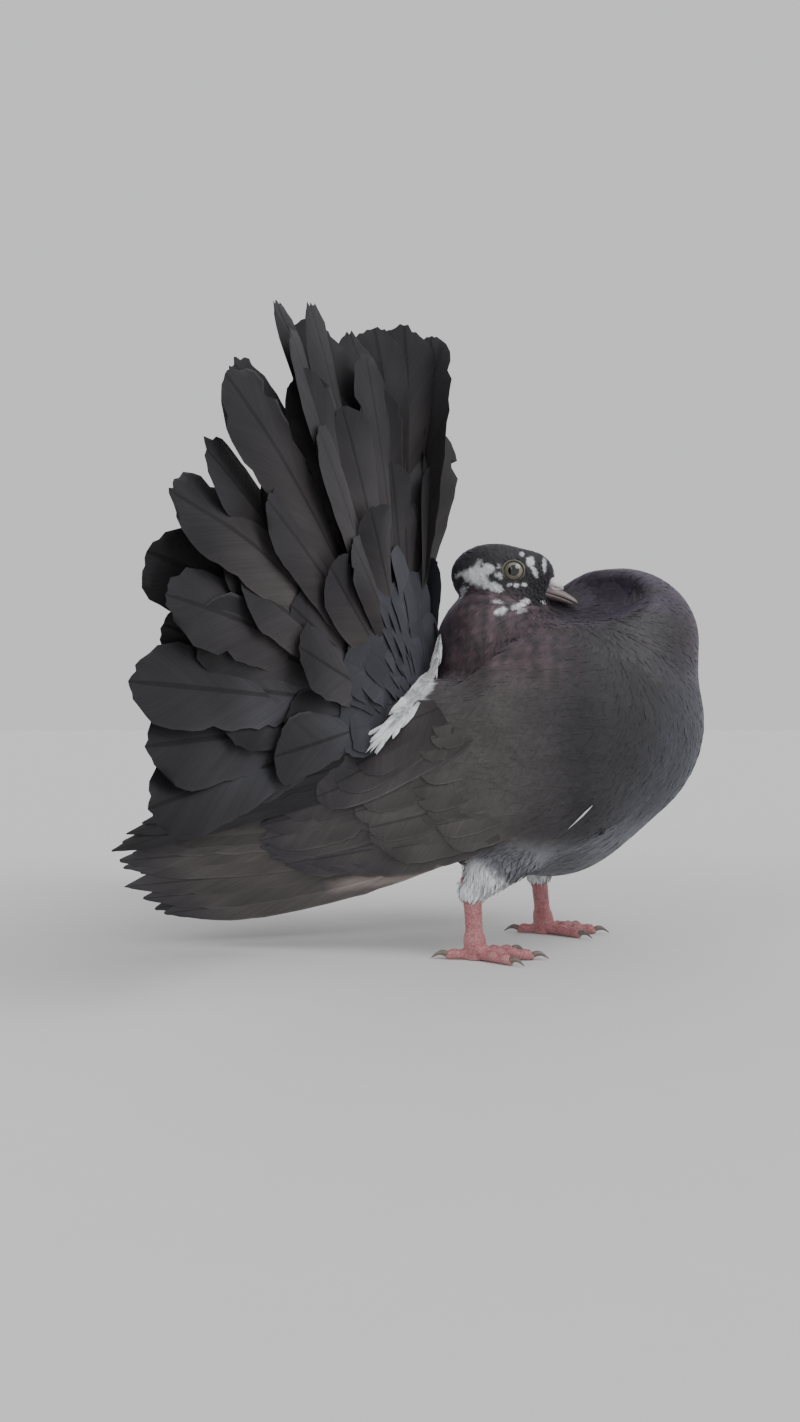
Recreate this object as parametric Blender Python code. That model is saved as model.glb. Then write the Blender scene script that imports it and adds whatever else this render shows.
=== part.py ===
"""Fantail pigeon, a still, life-size display model, standing with its head drawn back and its tail fanned.

The bird faces +X, +Y is its left side and +Z is up, all in metres. It is built around the middle of its
body, and at the end everything moves together so that the origin is on the floor under the middle of its box.
"""

import math

import bmesh
import bpy
import numpy as np
from mathutils import Matrix, Vector

# Driving dimensions. Left and right are the bird's own; the right side is at -Y.
GAP = 0.0003
FLESH_RINGS = 22
FLESH_SEGMENTS = 36
FLESH_BLEND = 0.009
CREASE_BLEND = 0.004
RAY_REACH = 0.085
RAY_STEPS = 120

# The flesh is the smooth sum of these rounded masses: centre and half sizes.
BODY_HEART = Vector((0.030, 0.0, 0.094))
BREAST = ((0.038, 0.0, 0.091), (0.053, 0.046, 0.050))
CROP = ((0.057, 0.002, 0.123), (0.033, 0.032, 0.0315))
BELLY = ((0.027, 0.0, 0.066), (0.040, 0.038, 0.039))
NECK_COLUMN = ((0.004, 0.0, 0.116), (0.024, 0.025, 0.031))
RUMP = ((-0.008, 0.0, 0.084), (0.030, 0.029, 0.024))
TAIL_STUMP = ((-0.030, 0.0, 0.093), (0.015, 0.016, 0.014))
BODY_MASSES = (BREAST, CROP, BELLY, NECK_COLUMN, RUMP, TAIL_STUMP)
BILL_CREASE = ((0.033, -0.017, 0.1400), (0.014, 0.018, 0.0085))
NECK_CUT_POINT = Vector((0.0, 0.0, 0.114))
NECK_CUT_RISE = math.radians(5)
TAIL_CUT_POINT = Vector((-0.022, 0.0, 0.094))
TAIL_CUT_LEAN = math.radians(28)

# Head, in its own frame: the origin between the eyes, +x along the bill.
HEAD_PLACE = Vector((0.0134, -0.003, 0.1506))
HEAD_PITCH = math.radians(10)
HEAD_YAW = math.radians(-13)
HEAD_BLEND = 0.004
HEAD_RINGS = 14
HEAD_SEGMENTS = 20
HEAD_HEART = (-0.003, 0.0, -0.003)
HEAD_REACH = 0.04
SKULL = ((-0.0055, 0.0, -0.0025), (0.0200, 0.0116, 0.0140))
FACE = ((0.0072, 0.0, 0.0000), (0.0092, 0.0084, 0.0092))
THROAT = ((0.0022, 0.0, -0.0092), (0.0125, 0.0096, 0.0082))
HEAD_MASSES = (SKULL, FACE, THROAT)
EYE_RADIUS = 0.0053
EYE_DEPTH = 0.0064
EYE_TURN = math.radians(8)
LID_RADIUS = 0.0043
LID_THICKNESS = 0.0008
LID_DEPTH = 0.0104
LID_TALLNESS = 1.5
LID_AROUND = 16
LID_THROUGH = 5
EYE_SEGMENTS = 16
EYE_RINGS = 9
BILL_ROOT = 0.0118
BILL_TIP = 0.0278
BILL_SLOPE = 0.0016
BILL_HOOK = 0.0010
GAPE_HEIGHT = -0.0056
BILL_HALF_WIDTH = 0.0037
BILL_UPPER_HEIGHT = 0.0036
BILL_LOWER_HEIGHT = 0.0021
BILL_LOWER_SHORTER = 0.0012
BILL_STEPS = 7
BILL_HALF_SIDES = 7
BILL_ROUNDING = 2.2
BILL_TAPER = 0.35
BILL_TIP_SIZE = 0.07
CERE_PLACE = (0.0172, 0.0017, -0.0028)
CERE_SIZE = (0.0034, 0.0022, 0.0020)
NOSTRIL_SIZE = (0.0017, 0.0012, 0.00035)
NOSTRIL_SHIFT = (0.0024, 0.0016, -0.0012)

# Tail fan: bearings run round the fan from straight up (0) to the sides.
FAN_CENTRE = Vector((-0.0325, 0.0, 0.094))
FAN_EDGE = math.radians(95)
FAN_NODE_EDGE = math.radians(34.1)
FAN_LEAN_TOP = math.radians(-7)
FAN_LEAN_SIDE = math.radians(25)
FAN_LEAN_BEND = 0.60
FAN_LENGTH_TOP = 0.155
FAN_LENGTH_SIDE = 0.170
FAN_LENGTH_BULGE = 0.006
FAN_ROOT = 0.015
FAN_SPAN_MARGIN = 0.06
FAN_LEAST_SPACE = 0.002
FAN_MIDDLE_LIFT = 0.9
FAN_FEATHERS = 27
FAN_FEATHER_WIDTH = 0.0255
FAN_FRONT_FEATHERS = 13
FAN_FRONT_WIDTH = 0.0230
FAN_FRONT_SHARE = 0.80
FAN_FRONT_RISE = 0.0030
FAN_CURL = 0.006
FAN_BLOCK_INNER = 0.007
FAN_BLOCK_OUTER = 0.029
FAN_BLOCK_BACK = 0.0040
FAN_BLOCK_FRONT = 0.0062
FAN_BLOCK_STEPS = 6
COVERT_COUNT = 13
COVERT_LENGTH = 0.056
COVERT_WIDTH = 0.0170
COVERT_RISE = 0.0052
VANE_THICKNESS = 0.00055
SHINGLE = 0.0010
FEATHER_STEPS = (0.0, 0.20, 0.48, 0.76, 0.93, 1.0)
FEATHER_WIDTHS = (0.18, 0.42, 0.76, 1.0, 0.88, 0.42)
COVERT_STEPS = (0.0, 0.45, 0.80, 1.0)
COVERT_WIDTHS = (0.35, 0.85, 1.0, 0.42)
LENGTH_SPREAD = 0.045

# Wing, seen from the side: lines in X and Z, from the leading feather up to the back.
SHIELD_STATIONS = (
    # x, lower edge z, upper edge z
    (0.0730, 0.0870, 0.1020),
    (0.0665, 0.0690, 0.1130),
    (0.0540, 0.0545, 0.1215),
    (0.0380, 0.0450, 0.1255),
    (0.0200, 0.0400, 0.1245),
    (0.0020, 0.0375, 0.1180),
    (-0.0140, 0.0370, 0.1020),
    (-0.0280, 0.0380, 0.0860),
    (-0.0400, 0.0400, 0.0760),
)
SHIELD_ROWS = 7
SHIELD_THICKNESS = 0.0058
SHIELD_EDGE = 0.0016
SHIELD_REAR_THICKNESS = 0.0052
WING_PLANE_NEAR = 0.0430
WING_PLANE_REAR = 0.0200
WING_PLANE_START = 0.020
WING_PLANE_END = -0.140
WING_CROWN_Z = 0.088
WING_CROWN_BEND = 8.0
WING_KEEL_Z = 0.070
WING_KEEL_BEND = 5.0
WING_SINK = 0.0012
WING_BLEND = 0.004
WING_CROWN_ROUNDING = 0.6
WING_LEAST_SPACE = 0.0022
WING_TIP_LINE = ((-0.1310, 0.0235), (-0.1430, 0.0370), (-0.1190, 0.0570), (-0.0790, 0.0720))
WING_ROOT_LINE = ((-0.0080, 0.0440), (-0.0200, 0.0500), (-0.0290, 0.0600), (-0.0310, 0.0710))
FLIGHT_FEATHERS = 13
FLIGHT_WIDTH = 0.0170
FLIGHT_LIFT = 0.0024
FLIGHT_SAG = 0.0065
WING_COVERT_ROWS = (
    # count, root x, tip x, width, lift at the root, lift at the tip
    (8, -0.0230, -0.0660, 0.0140, 0.0036, 0.0068),
    (7, -0.0040, -0.0350, 0.0150, 0.0040, 0.0090),
)
WING_COVERT_LOW = 0.10
WING_COVERT_HIGH = 0.82
WING_COVERT_DROP = 0.2
WING_COVERT_WAVE = 0.004

# Legs: the right foot is set back, the left one forward.
HOCKS = {"right": Vector((-0.0050, -0.0265, 0.0260)), "left": Vector((0.0270, 0.0265, 0.0260))}
ANKLES = {"right": Vector((-0.0040, -0.0270, 0.0070)), "left": Vector((0.0290, 0.0270, 0.0070))}
THIGH_TOPS = {"right": Vector((0.0160, -0.0220, 0.0520)), "left": Vector((0.0330, 0.0220, 0.0520))}
THIGH_END_Z = 0.0215
THIGH_SIDES = 14
THIGH_RINGS = (
    # share of the way to the hock, radius
    (0.0, 0.0121),
    (0.25, 0.0165),
    (0.55, 0.0143),
    (0.80, 0.0106),
    (1.0, 0.0081),
    (1.22, 0.0068),
)
SHANK_RADIUS = 0.0031
ANKLE_TOP_Z = 0.0080
SHANK_SIDES = 10
SHANK_DEPTH = 1.12
SHANK_RINGS = ((THIGH_END_Z, 1.06), (0.0175, 0.96), (0.0120, 0.94), (ANKLE_TOP_Z + GAP, 1.04))
ANKLE_RINGS = ((0.0, 1.25), (0.0020, 1.45), (0.0050, 1.25), (ANKLE_TOP_Z, 1.04))
FOOT_HEADING = math.radians(-4)
TOE_SIDES = 8
TOES = (
    # name, bearing, length, root radius
    ("middle", 0, 0.0225, 0.0029),
    ("inner", 38, 0.0175, 0.0026),
    ("outer", -36, 0.0185, 0.0026),
    ("hind", 176, 0.0110, 0.0025),
)
TOE_TIP_RADIUS = 0.0019
TOE_SWELLINGS = (1.0, 0.92, 0.98, 0.84)
TOE_SHARES = (0.0, 0.25, 0.50, 0.76, 1.0)
TOE_HEIGHTS = (0.0052, 0.0036, 0.0026, 0.0023, 0.0018)
SOLE_SINK = 0.0005
CLAW_LENGTH = 0.0058
CLAW_RADIUS = 0.00125
CLAW_SIDES = 8
CLAW_SHARES = (0.0, 0.35, 0.70, 1.0)
CLAW_TAPER = 0.86
CLAW_RISE = 0.0007
CLAW_DROP = 0.0010

COLOURS = {
    "plumage": (0.030, 0.029, 0.033, 1.0),
    "neck": (0.060, 0.042, 0.055, 1.0),
    "skin": (0.50, 0.16, 0.17, 1.0),
    "bill": (0.34, 0.27, 0.27, 1.0),
    "cere": (0.72, 0.66, 0.66, 1.0),
    "eye": (0.30, 0.26, 0.16, 1.0),
    "claw": (0.10, 0.08, 0.07, 1.0),
}
ROUGHNESS = {"plumage": 0.55, "neck": 0.4, "skin": 0.6, "bill": 0.45, "cere": 0.7, "eye": 0.1, "claw": 0.35}

chance = np.random.default_rng(27)


def clear_scene():
    for obj in list(bpy.data.objects):
        bpy.data.objects.remove(obj)


def material(kind):
    made = bpy.data.materials.get(kind)
    if made:
        return made
    made = bpy.data.materials.new(kind)
    made.use_nodes = True
    shader = made.node_tree.nodes["Principled BSDF"]
    shader.inputs["Base Color"].default_value = COLOURS[kind]
    shader.inputs["Roughness"].default_value = ROUGHNESS[kind]
    return made


def add_object(name, points, faces, kind="plumage"):
    mesh = bpy.data.meshes.new(name)
    mesh.from_pydata([tuple(p) for p in points], [], [tuple(f) for f in faces])
    mesh.materials.append(material(kind))
    obj = bpy.data.objects.new(name, mesh)
    bpy.context.scene.collection.objects.link(obj)
    return obj


def face_outwards(mesh):
    """Closed meshes here may come out with their faces inwards, which one test of the volume shows."""
    shape = bmesh.new()
    shape.from_mesh(mesh)
    if shape.calc_volume(signed=True) < 0:
        bmesh.ops.reverse_faces(shape, faces=shape.faces)
    shape.to_mesh(mesh)
    shape.free()


def shade(obj):
    obj.data.shade_smooth()
    obj.data.set_sharp_from_angle(angle=math.radians(40))


# Rounded masses


def ellipsoid_distance(points, mass):
    """Distance from each point to an ellipsoid, near enough close to its surface."""
    centre, radii = (np.array(v) for v in mass)
    scaled = np.linalg.norm((points - centre) / radii, axis=-1)
    slope = np.linalg.norm((points - centre) / radii**2, axis=-1)
    return scaled * (scaled - 1) / np.maximum(slope, 1e-9)


def blended(a, b, width):
    share = np.clip(0.5 + 0.5 * (b - a) / width, 0, 1)
    return b * (1 - share) + a * share - width * share * (1 - share)


def masses_distance(points, masses, blend):
    total = ellipsoid_distance(points, masses[0])
    for mass in masses[1:]:
        total = blended(total, ellipsoid_distance(points, mass), blend)
    return total


def body_distance(points):
    whole = masses_distance(points, BODY_MASSES, FLESH_BLEND)
    crease = ellipsoid_distance(points, BILL_CREASE)
    return -blended(-whole, crease, CREASE_BLEND)


def head_distance(points):
    return masses_distance(points, HEAD_MASSES, HEAD_BLEND)


def outermost(distance, start, ways, reach):
    """How far along each way the outermost surface lies."""
    lengths = np.linspace(reach, 0, RAY_STEPS)
    values = distance(start + ways[:, None, :] * lengths[None, :, None])
    inside = values < 0
    first = np.argmax(inside, axis=1)
    rows = np.arange(len(ways))
    before, after = values[rows, first - 1], values[rows, first]
    share = before / (before - after)
    found = lengths[first - 1] + (lengths[first] - lengths[first - 1]) * share
    return np.where(inside.any(axis=1) & (first > 0), found, 0.0)


def rounded_mesh(distance, centre, rings, segments, reach):
    """A ball whose points are moved out along their rays onto the surface; its poles lie along X."""
    shape = bmesh.new()
    bmesh.ops.create_uvsphere(shape, u_segments=segments, v_segments=rings, radius=1)
    bmesh.ops.rotate(shape, verts=shape.verts, matrix=Matrix.Rotation(math.pi / 2, 3, "Y"))
    ways = np.array([v.co.normalized() for v in shape.verts])
    lengths = outermost(distance, np.array(centre), ways, reach)
    for vert, way, length in zip(shape.verts, ways, lengths):
        vert.co = Vector(centre) + Vector(way) * length
    bmesh.ops.triangulate(shape, faces=shape.faces)
    return shape


def object_from(shape, name, kind):
    mesh = bpy.data.meshes.new(name)
    shape.to_mesh(mesh)
    shape.free()
    mesh.materials.append(material(kind))
    obj = bpy.data.objects.new(name, mesh)
    bpy.context.scene.collection.objects.link(obj)
    return obj


def keep_side(shape, point, normal):
    """Cuts a closed shape by a plane, keeps what lies on the normal's side and closes the cut."""
    cut = bmesh.ops.bisect_plane(
        shape,
        geom=[*shape.verts, *shape.edges, *shape.faces],
        plane_co=point,
        plane_no=normal,
        clear_inner=True,
    )
    rim = [e for e in cut["geom_cut"] if isinstance(e, bmesh.types.BMEdge)]
    bmesh.ops.contextual_create(shape, geom=rim)
    bmesh.ops.triangulate(shape, faces=[f for f in shape.faces if len(f.verts) > 3])
    return shape


# Joining, cutting and copies grown by the gap


def apply_modifiers(obj):
    graph = bpy.context.evaluated_depsgraph_get()
    mesh = bpy.data.meshes.new_from_object(obj.evaluated_get(graph))
    obj.modifiers.clear()
    obj.data = mesh


def keep_largest(obj):
    """Keeps the closed surface with the most volume, and drops scraps and sealed hollows."""
    shape = bmesh.new()
    shape.from_mesh(obj.data)
    bmesh.ops.remove_doubles(shape, verts=shape.verts, dist=1e-7)
    unseen = set(shape.faces)
    islands = []
    while unseen:
        todo = [unseen.pop()]
        island = set(todo)
        while todo:
            for edge in todo.pop().edges:
                for face in edge.link_faces:
                    if face in unseen:
                        unseen.remove(face)
                        island.add(face)
                        todo.append(face)
        islands.append(island)

    def volume(island):
        total = 0.0
        for face in island:
            corners = [v.co for v in face.verts]
            for i in range(1, len(corners) - 1):
                total += corners[0].dot(corners[i].cross(corners[i + 1])) / 6
        return abs(total)

    largest = max(islands, key=volume)
    lost = [f for island in islands if island is not largest for f in island]
    bmesh.ops.delete(shape, geom=lost, context="FACES")
    bmesh.ops.triangulate(shape, faces=[f for f in shape.faces if len(f.verts) > 3])
    shape.to_mesh(obj.data)
    shape.free()


def join(base, pieces, solver="MANIFOLD"):
    """One union of the base with all its pieces, which are then removed."""
    group = bpy.data.collections.new("pieces_of_" + base.name)
    bpy.context.scene.collection.children.link(group)
    for piece in pieces:
        face_outwards(piece.data)
        group.objects.link(piece)
        bpy.context.scene.collection.objects.unlink(piece)
    face_outwards(base.data)
    union = base.modifiers.new("union", "BOOLEAN")
    union.operation = "UNION"
    union.operand_type = "COLLECTION"
    union.collection = group
    union.solver = solver
    apply_modifiers(base)
    for piece in pieces:
        bpy.data.objects.remove(piece)
    bpy.data.collections.remove(group)
    keep_largest(base)
    return base


def cut_away(base, cutter, solver="MANIFOLD"):
    face_outwards(base.data)
    face_outwards(cutter.data)
    cut = base.modifiers.new("cut", "BOOLEAN")
    cut.operation = "DIFFERENCE"
    cut.object = cutter
    cut.solver = solver
    apply_modifiers(base)
    bpy.data.objects.remove(cutter)
    keep_largest(base)
    return base


def grown_copy(obj, by=GAP):
    """A copy of a closed object whose points stand out by the gap."""
    shape = bmesh.new()
    shape.from_mesh(obj.data)
    shape.normal_update()
    for vert in shape.verts:
        vert.co += vert.normal * by * vert.calc_shell_factor()
    return object_from(shape, "grown_" + obj.name, "plumage")


def loft(name, rings, kind="plumage"):
    """A closed tube through rings of points, with a fan of faces on each end."""
    count = len(rings[0])
    points = [p for ring in rings for p in ring]
    faces = []
    for row in range(len(rings) - 1):
        for i in range(count):
            a, b = row * count + i, row * count + (i + 1) % count
            faces += [(a, b, b + count), (a, b + count, a + count)]
    for ring, row, turn in ((rings[0], 0, 1), (rings[-1], (len(rings) - 1) * count, 0)):
        middle = len(points)
        points.append(sum((Vector(p) for p in ring), Vector()) / count)
        for i in range(count):
            a, b = row + i, row + (i + 1) % count
            faces.append((b, a, middle) if turn else (a, b, middle))
    obj = add_object(name, points, faces, kind)
    face_outwards(obj.data)
    return obj


def ring(centre, axis, radius, sides, flat=1.0):
    """Points round an axis; flat scales them along the direction nearest to up."""
    axis = axis.normalized()
    side = axis.cross(Vector((0, 0, 1))).normalized()
    up = side.cross(axis).normalized()
    turns = [2 * math.pi * i / sides for i in range(sides)]
    return [centre + side * math.cos(a) * radius + up * math.sin(a) * radius * flat for a in turns]


# Feathers


def vane(name, left_edge, right_edge, normals):
    """A thin feather between two edges, split into triangles alike on both faces."""
    points = []
    half = VANE_THICKNESS / 2
    for left, right, normal in zip(left_edge, right_edge, normals):
        lift = normal * half
        points += [left + lift, right + lift, right - lift, left - lift]
    faces = []
    for row in range(len(left_edge) - 1):
        a = 4 * row
        b = a + 4
        faces += [(a, a + 1, b + 1), (a, b + 1, b), (a + 3, b + 2, a + 2), (a + 3, b + 3, b + 2)]
        faces += [(a + 1, a + 2, b + 2), (a + 1, b + 2, b + 1), (a, b, b + 3), (a, b + 3, a + 3)]
    last = 4 * (len(left_edge) - 1)
    faces += [(0, 3, 2), (0, 2, 1), (last, last + 1, last + 2), (last, last + 2, last + 3)]
    return add_object(name, points, faces)


def fan_way(bearing):
    """The way that a feather at this bearing round the fan points."""
    share = abs(bearing) / (math.pi / 2)
    lean = FAN_LEAN_TOP + (FAN_LEAN_SIDE - FAN_LEAN_TOP) * min(share, 1.0) ** FAN_LEAN_BEND
    flat = math.cos(lean)
    return Vector((-math.sin(lean), math.sin(bearing) * flat, math.cos(bearing) * flat))


def fan_frame(bearing):
    """The feather's way, the way round the fan, and the normal of its front face."""
    way = fan_way(bearing)
    step = 0.01
    around = (fan_way(bearing + step) - fan_way(bearing - step)).normalized()
    front = around.cross(way).normalized()
    return way, around, front if front.x > 0 else -front


def fan_length(bearing):
    share = min(abs(bearing) / (math.pi / 2), 1.0)
    bulge = FAN_LENGTH_BULGE * math.sin(math.pi * share)
    return FAN_LENGTH_TOP + (FAN_LENGTH_SIDE - FAN_LENGTH_TOP) * share + bulge


def fan_feather(name, bearing, length, width, spacing, rise, steps, widths, root=FAN_ROOT):
    """One feather of the fan. It tilts so that its outer edge lies in front of the next one out."""
    way, around, front = fan_frame(bearing)
    outward = 0 if abs(bearing) < 1e-6 else math.copysign(1, bearing)
    lefts, rights, normals = [], [], []
    for share, wide in zip(steps, widths):
        reach = root + (length - root) * share
        half = width * wide / 2
        curl = FAN_CURL * (reach / FAN_LENGTH_SIDE) ** 4
        middle = FAN_CENTRE + way * reach + front * (rise - curl + (0 if outward else FAN_MIDDLE_LIFT * SHINGLE))
        tilt = SHINGLE * half / max(spacing * reach, FAN_LEAST_SPACE) * outward
        lefts.append(middle - around * half - front * tilt)
        rights.append(middle + around * half + front * tilt)
        normals.append(front)
    return vane(name, lefts, rights, normals)


def fan_tier(name, count, width, rise, share, steps, widths, length=None):
    """Feathers spread evenly over the whole fan, as a list of bearing and object."""
    spacing = 2 * FAN_EDGE / (count - 1)
    made = []
    for i in range(count):
        bearing = (i - (count - 1) / 2) * spacing
        reach = (length or fan_length(bearing)) * share
        reach *= 1 + LENGTH_SPREAD * float(chance.uniform(-1, 1))
        feather = fan_feather(f"{name}_{i}", bearing, reach, width, spacing, rise, steps, widths)
        made.append((bearing, feather))
    return made


def fan_block(name, low, high):
    """The fleshy root of part of the fan, a bar that runs round it."""
    rings = []
    for i in range(FAN_BLOCK_STEPS + 1):
        bearing = low + (high - low) * i / FAN_BLOCK_STEPS
        way, _, front = fan_frame(bearing)
        rings.append(
            [
                FAN_CENTRE + way * FAN_BLOCK_INNER - front * FAN_BLOCK_BACK,
                FAN_CENTRE + way * FAN_BLOCK_OUTER - front * FAN_BLOCK_BACK * 0.45,
                FAN_CENTRE + way * FAN_BLOCK_OUTER + front * FAN_BLOCK_FRONT * 0.75,
                FAN_CENTRE + way * FAN_BLOCK_INNER + front * FAN_BLOCK_FRONT,
            ]
        )
    return loft(name, rings)


def build_fan(flesh):
    """Three nodes of tail feathers, each with its own root bar, which lies on the stump of the tail."""
    feathers = fan_tier(
        "back", FAN_FEATHERS, FAN_FEATHER_WIDTH, 0.0, 1.0, FEATHER_STEPS, FEATHER_WIDTHS
    )
    feathers += fan_tier(
        "front",
        FAN_FRONT_FEATHERS,
        FAN_FRONT_WIDTH,
        FAN_FRONT_RISE,
        FAN_FRONT_SHARE,
        FEATHER_STEPS,
        FEATHER_WIDTHS,
    )
    feathers += fan_tier(
        "covert",
        COVERT_COUNT,
        COVERT_WIDTH,
        COVERT_RISE,
        1.0,
        COVERT_STEPS,
        COVERT_WIDTHS,
        COVERT_LENGTH,
    )
    parted = GAP / 2 / FAN_BLOCK_INNER
    spans = {
        "tail_fan_right": (-FAN_EDGE - FAN_SPAN_MARGIN, -FAN_NODE_EDGE - parted),
        "tail_fan_middle": (-FAN_NODE_EDGE + parted, FAN_NODE_EDGE - parted),
        "tail_fan_left": (FAN_NODE_EDGE + parted, FAN_EDGE + FAN_SPAN_MARGIN),
    }
    blocks = {name: fan_block(name, low, high) for name, (low, high) in spans.items()}
    keepouts = {name: grown_copy(block) for name, block in blocks.items()}
    for name, (low, high) in spans.items():
        node = join(blocks[name], [feather for bearing, feather in feathers if low < bearing < high])
        cut_away(node, grown_copy(flesh))
        for other, keepout in keepouts.items():
            if other != name:
                cut_away(node, grown_copy(keepout, 0.0))
        shade(node)
    for keepout in keepouts.values():
        bpy.data.objects.remove(keepout)


# Wings


def curve_point(line, share):
    """A point at this share of the way along a smooth line through a few points."""
    place = share * (len(line) - 1)
    i = min(int(place), len(line) - 2)
    t = place - i
    near = [np.array(line[min(max(i + k, 0), len(line) - 1)]) for k in (-1, 0, 1, 2)]
    bend = 2 * near[0] - 5 * near[1] + 4 * near[2] - near[3]
    swing = 3 * near[1] - near[0] - 3 * near[2] + near[3]
    return 0.5 * (2 * near[1] + (near[2] - near[0]) * t + bend * t**2 + swing * t**3)


def body_side(x, z):
    """How far out the body's surface is at this place, seen from the side."""
    if not hasattr(body_side, "known"):
        body_side.known = {}
    key = (round(x, 6), round(z, 6))
    if key not in body_side.known:
        start = np.array((x, 0.0, z))
        ways = np.array([(0.0, 1.0, 0.0), (0.0, -1.0, 0.0)])
        body_side.known[key] = float(outermost(body_distance, start, ways, RAY_REACH).max())
    return body_side.known[key]


def wing_surface(x, z):
    """How far out the wing's inner face lies: on the body's side, then in a plane that closes to the rear."""
    share = min(max((WING_PLANE_START - x) / (WING_PLANE_START - WING_PLANE_END), 0.0), 1.0)
    plane = WING_PLANE_NEAR + (WING_PLANE_REAR - WING_PLANE_NEAR) * share
    plane -= WING_CROWN_BEND * max(z - WING_CROWN_Z, 0.0) ** 2 + WING_KEEL_BEND * max(WING_KEEL_Z - z, 0.0) ** 2
    body = body_side(x, z) - WING_SINK
    return float(-blended(-np.array(plane), -np.array(body), WING_BLEND))


def wing_point(x, z, lift, side):
    return Vector((x, side * (wing_surface(x, z) + lift), z))


def wing_shield(name, side):
    """The arm under its small feathers: a plate that follows the body's side."""
    inner, outer = [], []
    last = len(SHIELD_STATIONS) - 1
    for column, (x, low, high) in enumerate(SHIELD_STATIONS):
        for row in range(SHIELD_ROWS + 1):
            share = row / SHIELD_ROWS
            z = low + (high - low) * share
            crown = math.sin(math.pi * share) ** WING_CROWN_ROUNDING if 0 < row < SHIELD_ROWS else 0.0
            ahead = min(column / 2.0, 1.0)
            full = SHIELD_THICKNESS if column < last else SHIELD_REAR_THICKNESS
            thick = SHIELD_EDGE + (full - SHIELD_EDGE) * crown * ahead
            inner.append(wing_point(x, z, 0.0, side))
            outer.append(wing_point(x, z, thick, side))
    count = SHIELD_ROWS + 1
    faces = []
    base = len(inner)
    for column in range(last):
        for row in range(SHIELD_ROWS):
            a = column * count + row
            b, c, d = a + 1, a + count + 1, a + count
            faces += [(a, b, c), (a, c, d), (base + a, base + c, base + b), (base + a, base + d, base + c)]
    rim = [column * count for column in range(last + 1)]
    rim += [last * count + row for row in range(1, count)]
    rim += [column * count + SHIELD_ROWS for column in range(last - 1, -1, -1)]
    rim += [row for row in range(SHIELD_ROWS - 1, 0, -1)]
    for i, a in enumerate(rim):
        b = rim[(i + 1) % len(rim)]
        faces += [(a, b, base + b), (a, base + b, base + a)]
    shield = add_object(name, inner + outer, faces)
    shape = bmesh.new()
    shape.from_mesh(shield.data)
    bmesh.ops.recalc_face_normals(shape, faces=shape.faces)
    shape.to_mesh(shield.data)
    shape.free()
    face_outwards(shield.data)
    return shield


def laid_feather(name, root, tip, width, next_root, next_tip, lifts, side, steps, widths, sag=0.0):
    """A feather laid along the wing, its lower edge outermost, so that the one above covers its upper edge."""
    root, tip = np.array(root), np.array(tip)
    along = (tip - root) / np.linalg.norm(tip - root)
    across = np.array((along[1], -along[0]))
    across = across if across[1] > 0 else -across
    root_space = abs(float(np.dot(np.array(next_root) - root, across)))
    tip_space = abs(float(np.dot(np.array(next_tip) - tip, across)))
    lefts, rights, normals = [], [], []
    for share, wide in zip(steps, widths):
        middle = root + (tip - root) * share - across * sag * math.sin(math.pi * share)
        half = width * wide / 2
        space = max(root_space + (tip_space - root_space) * share, WING_LEAST_SPACE)
        tilt = SHINGLE * half / space
        lift = lifts[0] + (lifts[1] - lifts[0]) * share
        low, high = middle - across * half, middle + across * half
        lefts.append(wing_point(low[0], low[1], lift + tilt, side))
        rights.append(wing_point(high[0], high[1], lift - tilt, side))
        normals.append(Vector((0, side, 0)))
    return vane(name, lefts, rights, normals)


def flight_feathers(side):
    made = []
    for i in range(FLIGHT_FEATHERS):
        share = i / (FLIGHT_FEATHERS - 1)
        after = (i + 1) / (FLIGHT_FEATHERS - 1) if i < FLIGHT_FEATHERS - 1 else (i - 1) / (FLIGHT_FEATHERS - 1)
        made.append(
            laid_feather(
                f"flight_{i}",
                curve_point(WING_ROOT_LINE, share),
                curve_point(WING_TIP_LINE, share),
                FLIGHT_WIDTH,
                curve_point(WING_ROOT_LINE, after),
                curve_point(WING_TIP_LINE, after),
                (FLIGHT_LIFT, FLIGHT_LIFT),
                side,
                FEATHER_STEPS,
                FEATHER_WIDTHS,
                FLIGHT_SAG * (1 - share) ** 2,
            )
        )
    return made


def shield_edges(x):
    """Lower and upper edge of the shield at this x, held at its rear end."""
    xs = [s[0] for s in SHIELD_STATIONS][::-1]
    return tuple(float(np.interp(x, xs, [s[k] for s in SHIELD_STATIONS][::-1])) for k in (1, 2))


def wing_coverts(side):
    made = []
    for row, (count, root_x, tip_x, width, *lifts) in enumerate(WING_COVERT_ROWS):

        def ends(i):
            share = WING_COVERT_LOW + (WING_COVERT_HIGH - WING_COVERT_LOW) * i / (count - 1)
            found = []
            for x in (root_x, tip_x):
                low, high = shield_edges(x)
                drop = max(shield_edges(root_x)[1] - high, 0) * WING_COVERT_DROP
                found.append((x + WING_COVERT_WAVE * math.sin(3 * share), low + (high - low) * share - drop))
            return found

        for i in range(count):
            root, tip = ends(i)
            next_root, next_tip = ends(i + 1 if i < count - 1 else i - 1)
            made.append(
                laid_feather(
                    f"covert_{row}_{i}",
                    root,
                    tip,
                    width,
                    next_root,
                    next_tip,
                    lifts,
                    side,
                    COVERT_STEPS,
                    COVERT_WIDTHS,
                )
            )
    return made


def build_wing(name, side, flesh):
    wing = join(wing_shield(name, side), flight_feathers(side) + wing_coverts(side))
    for neighbour in flesh:
        cut_away(wing, grown_copy(neighbour))
    shade(wing)


# Head


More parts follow.
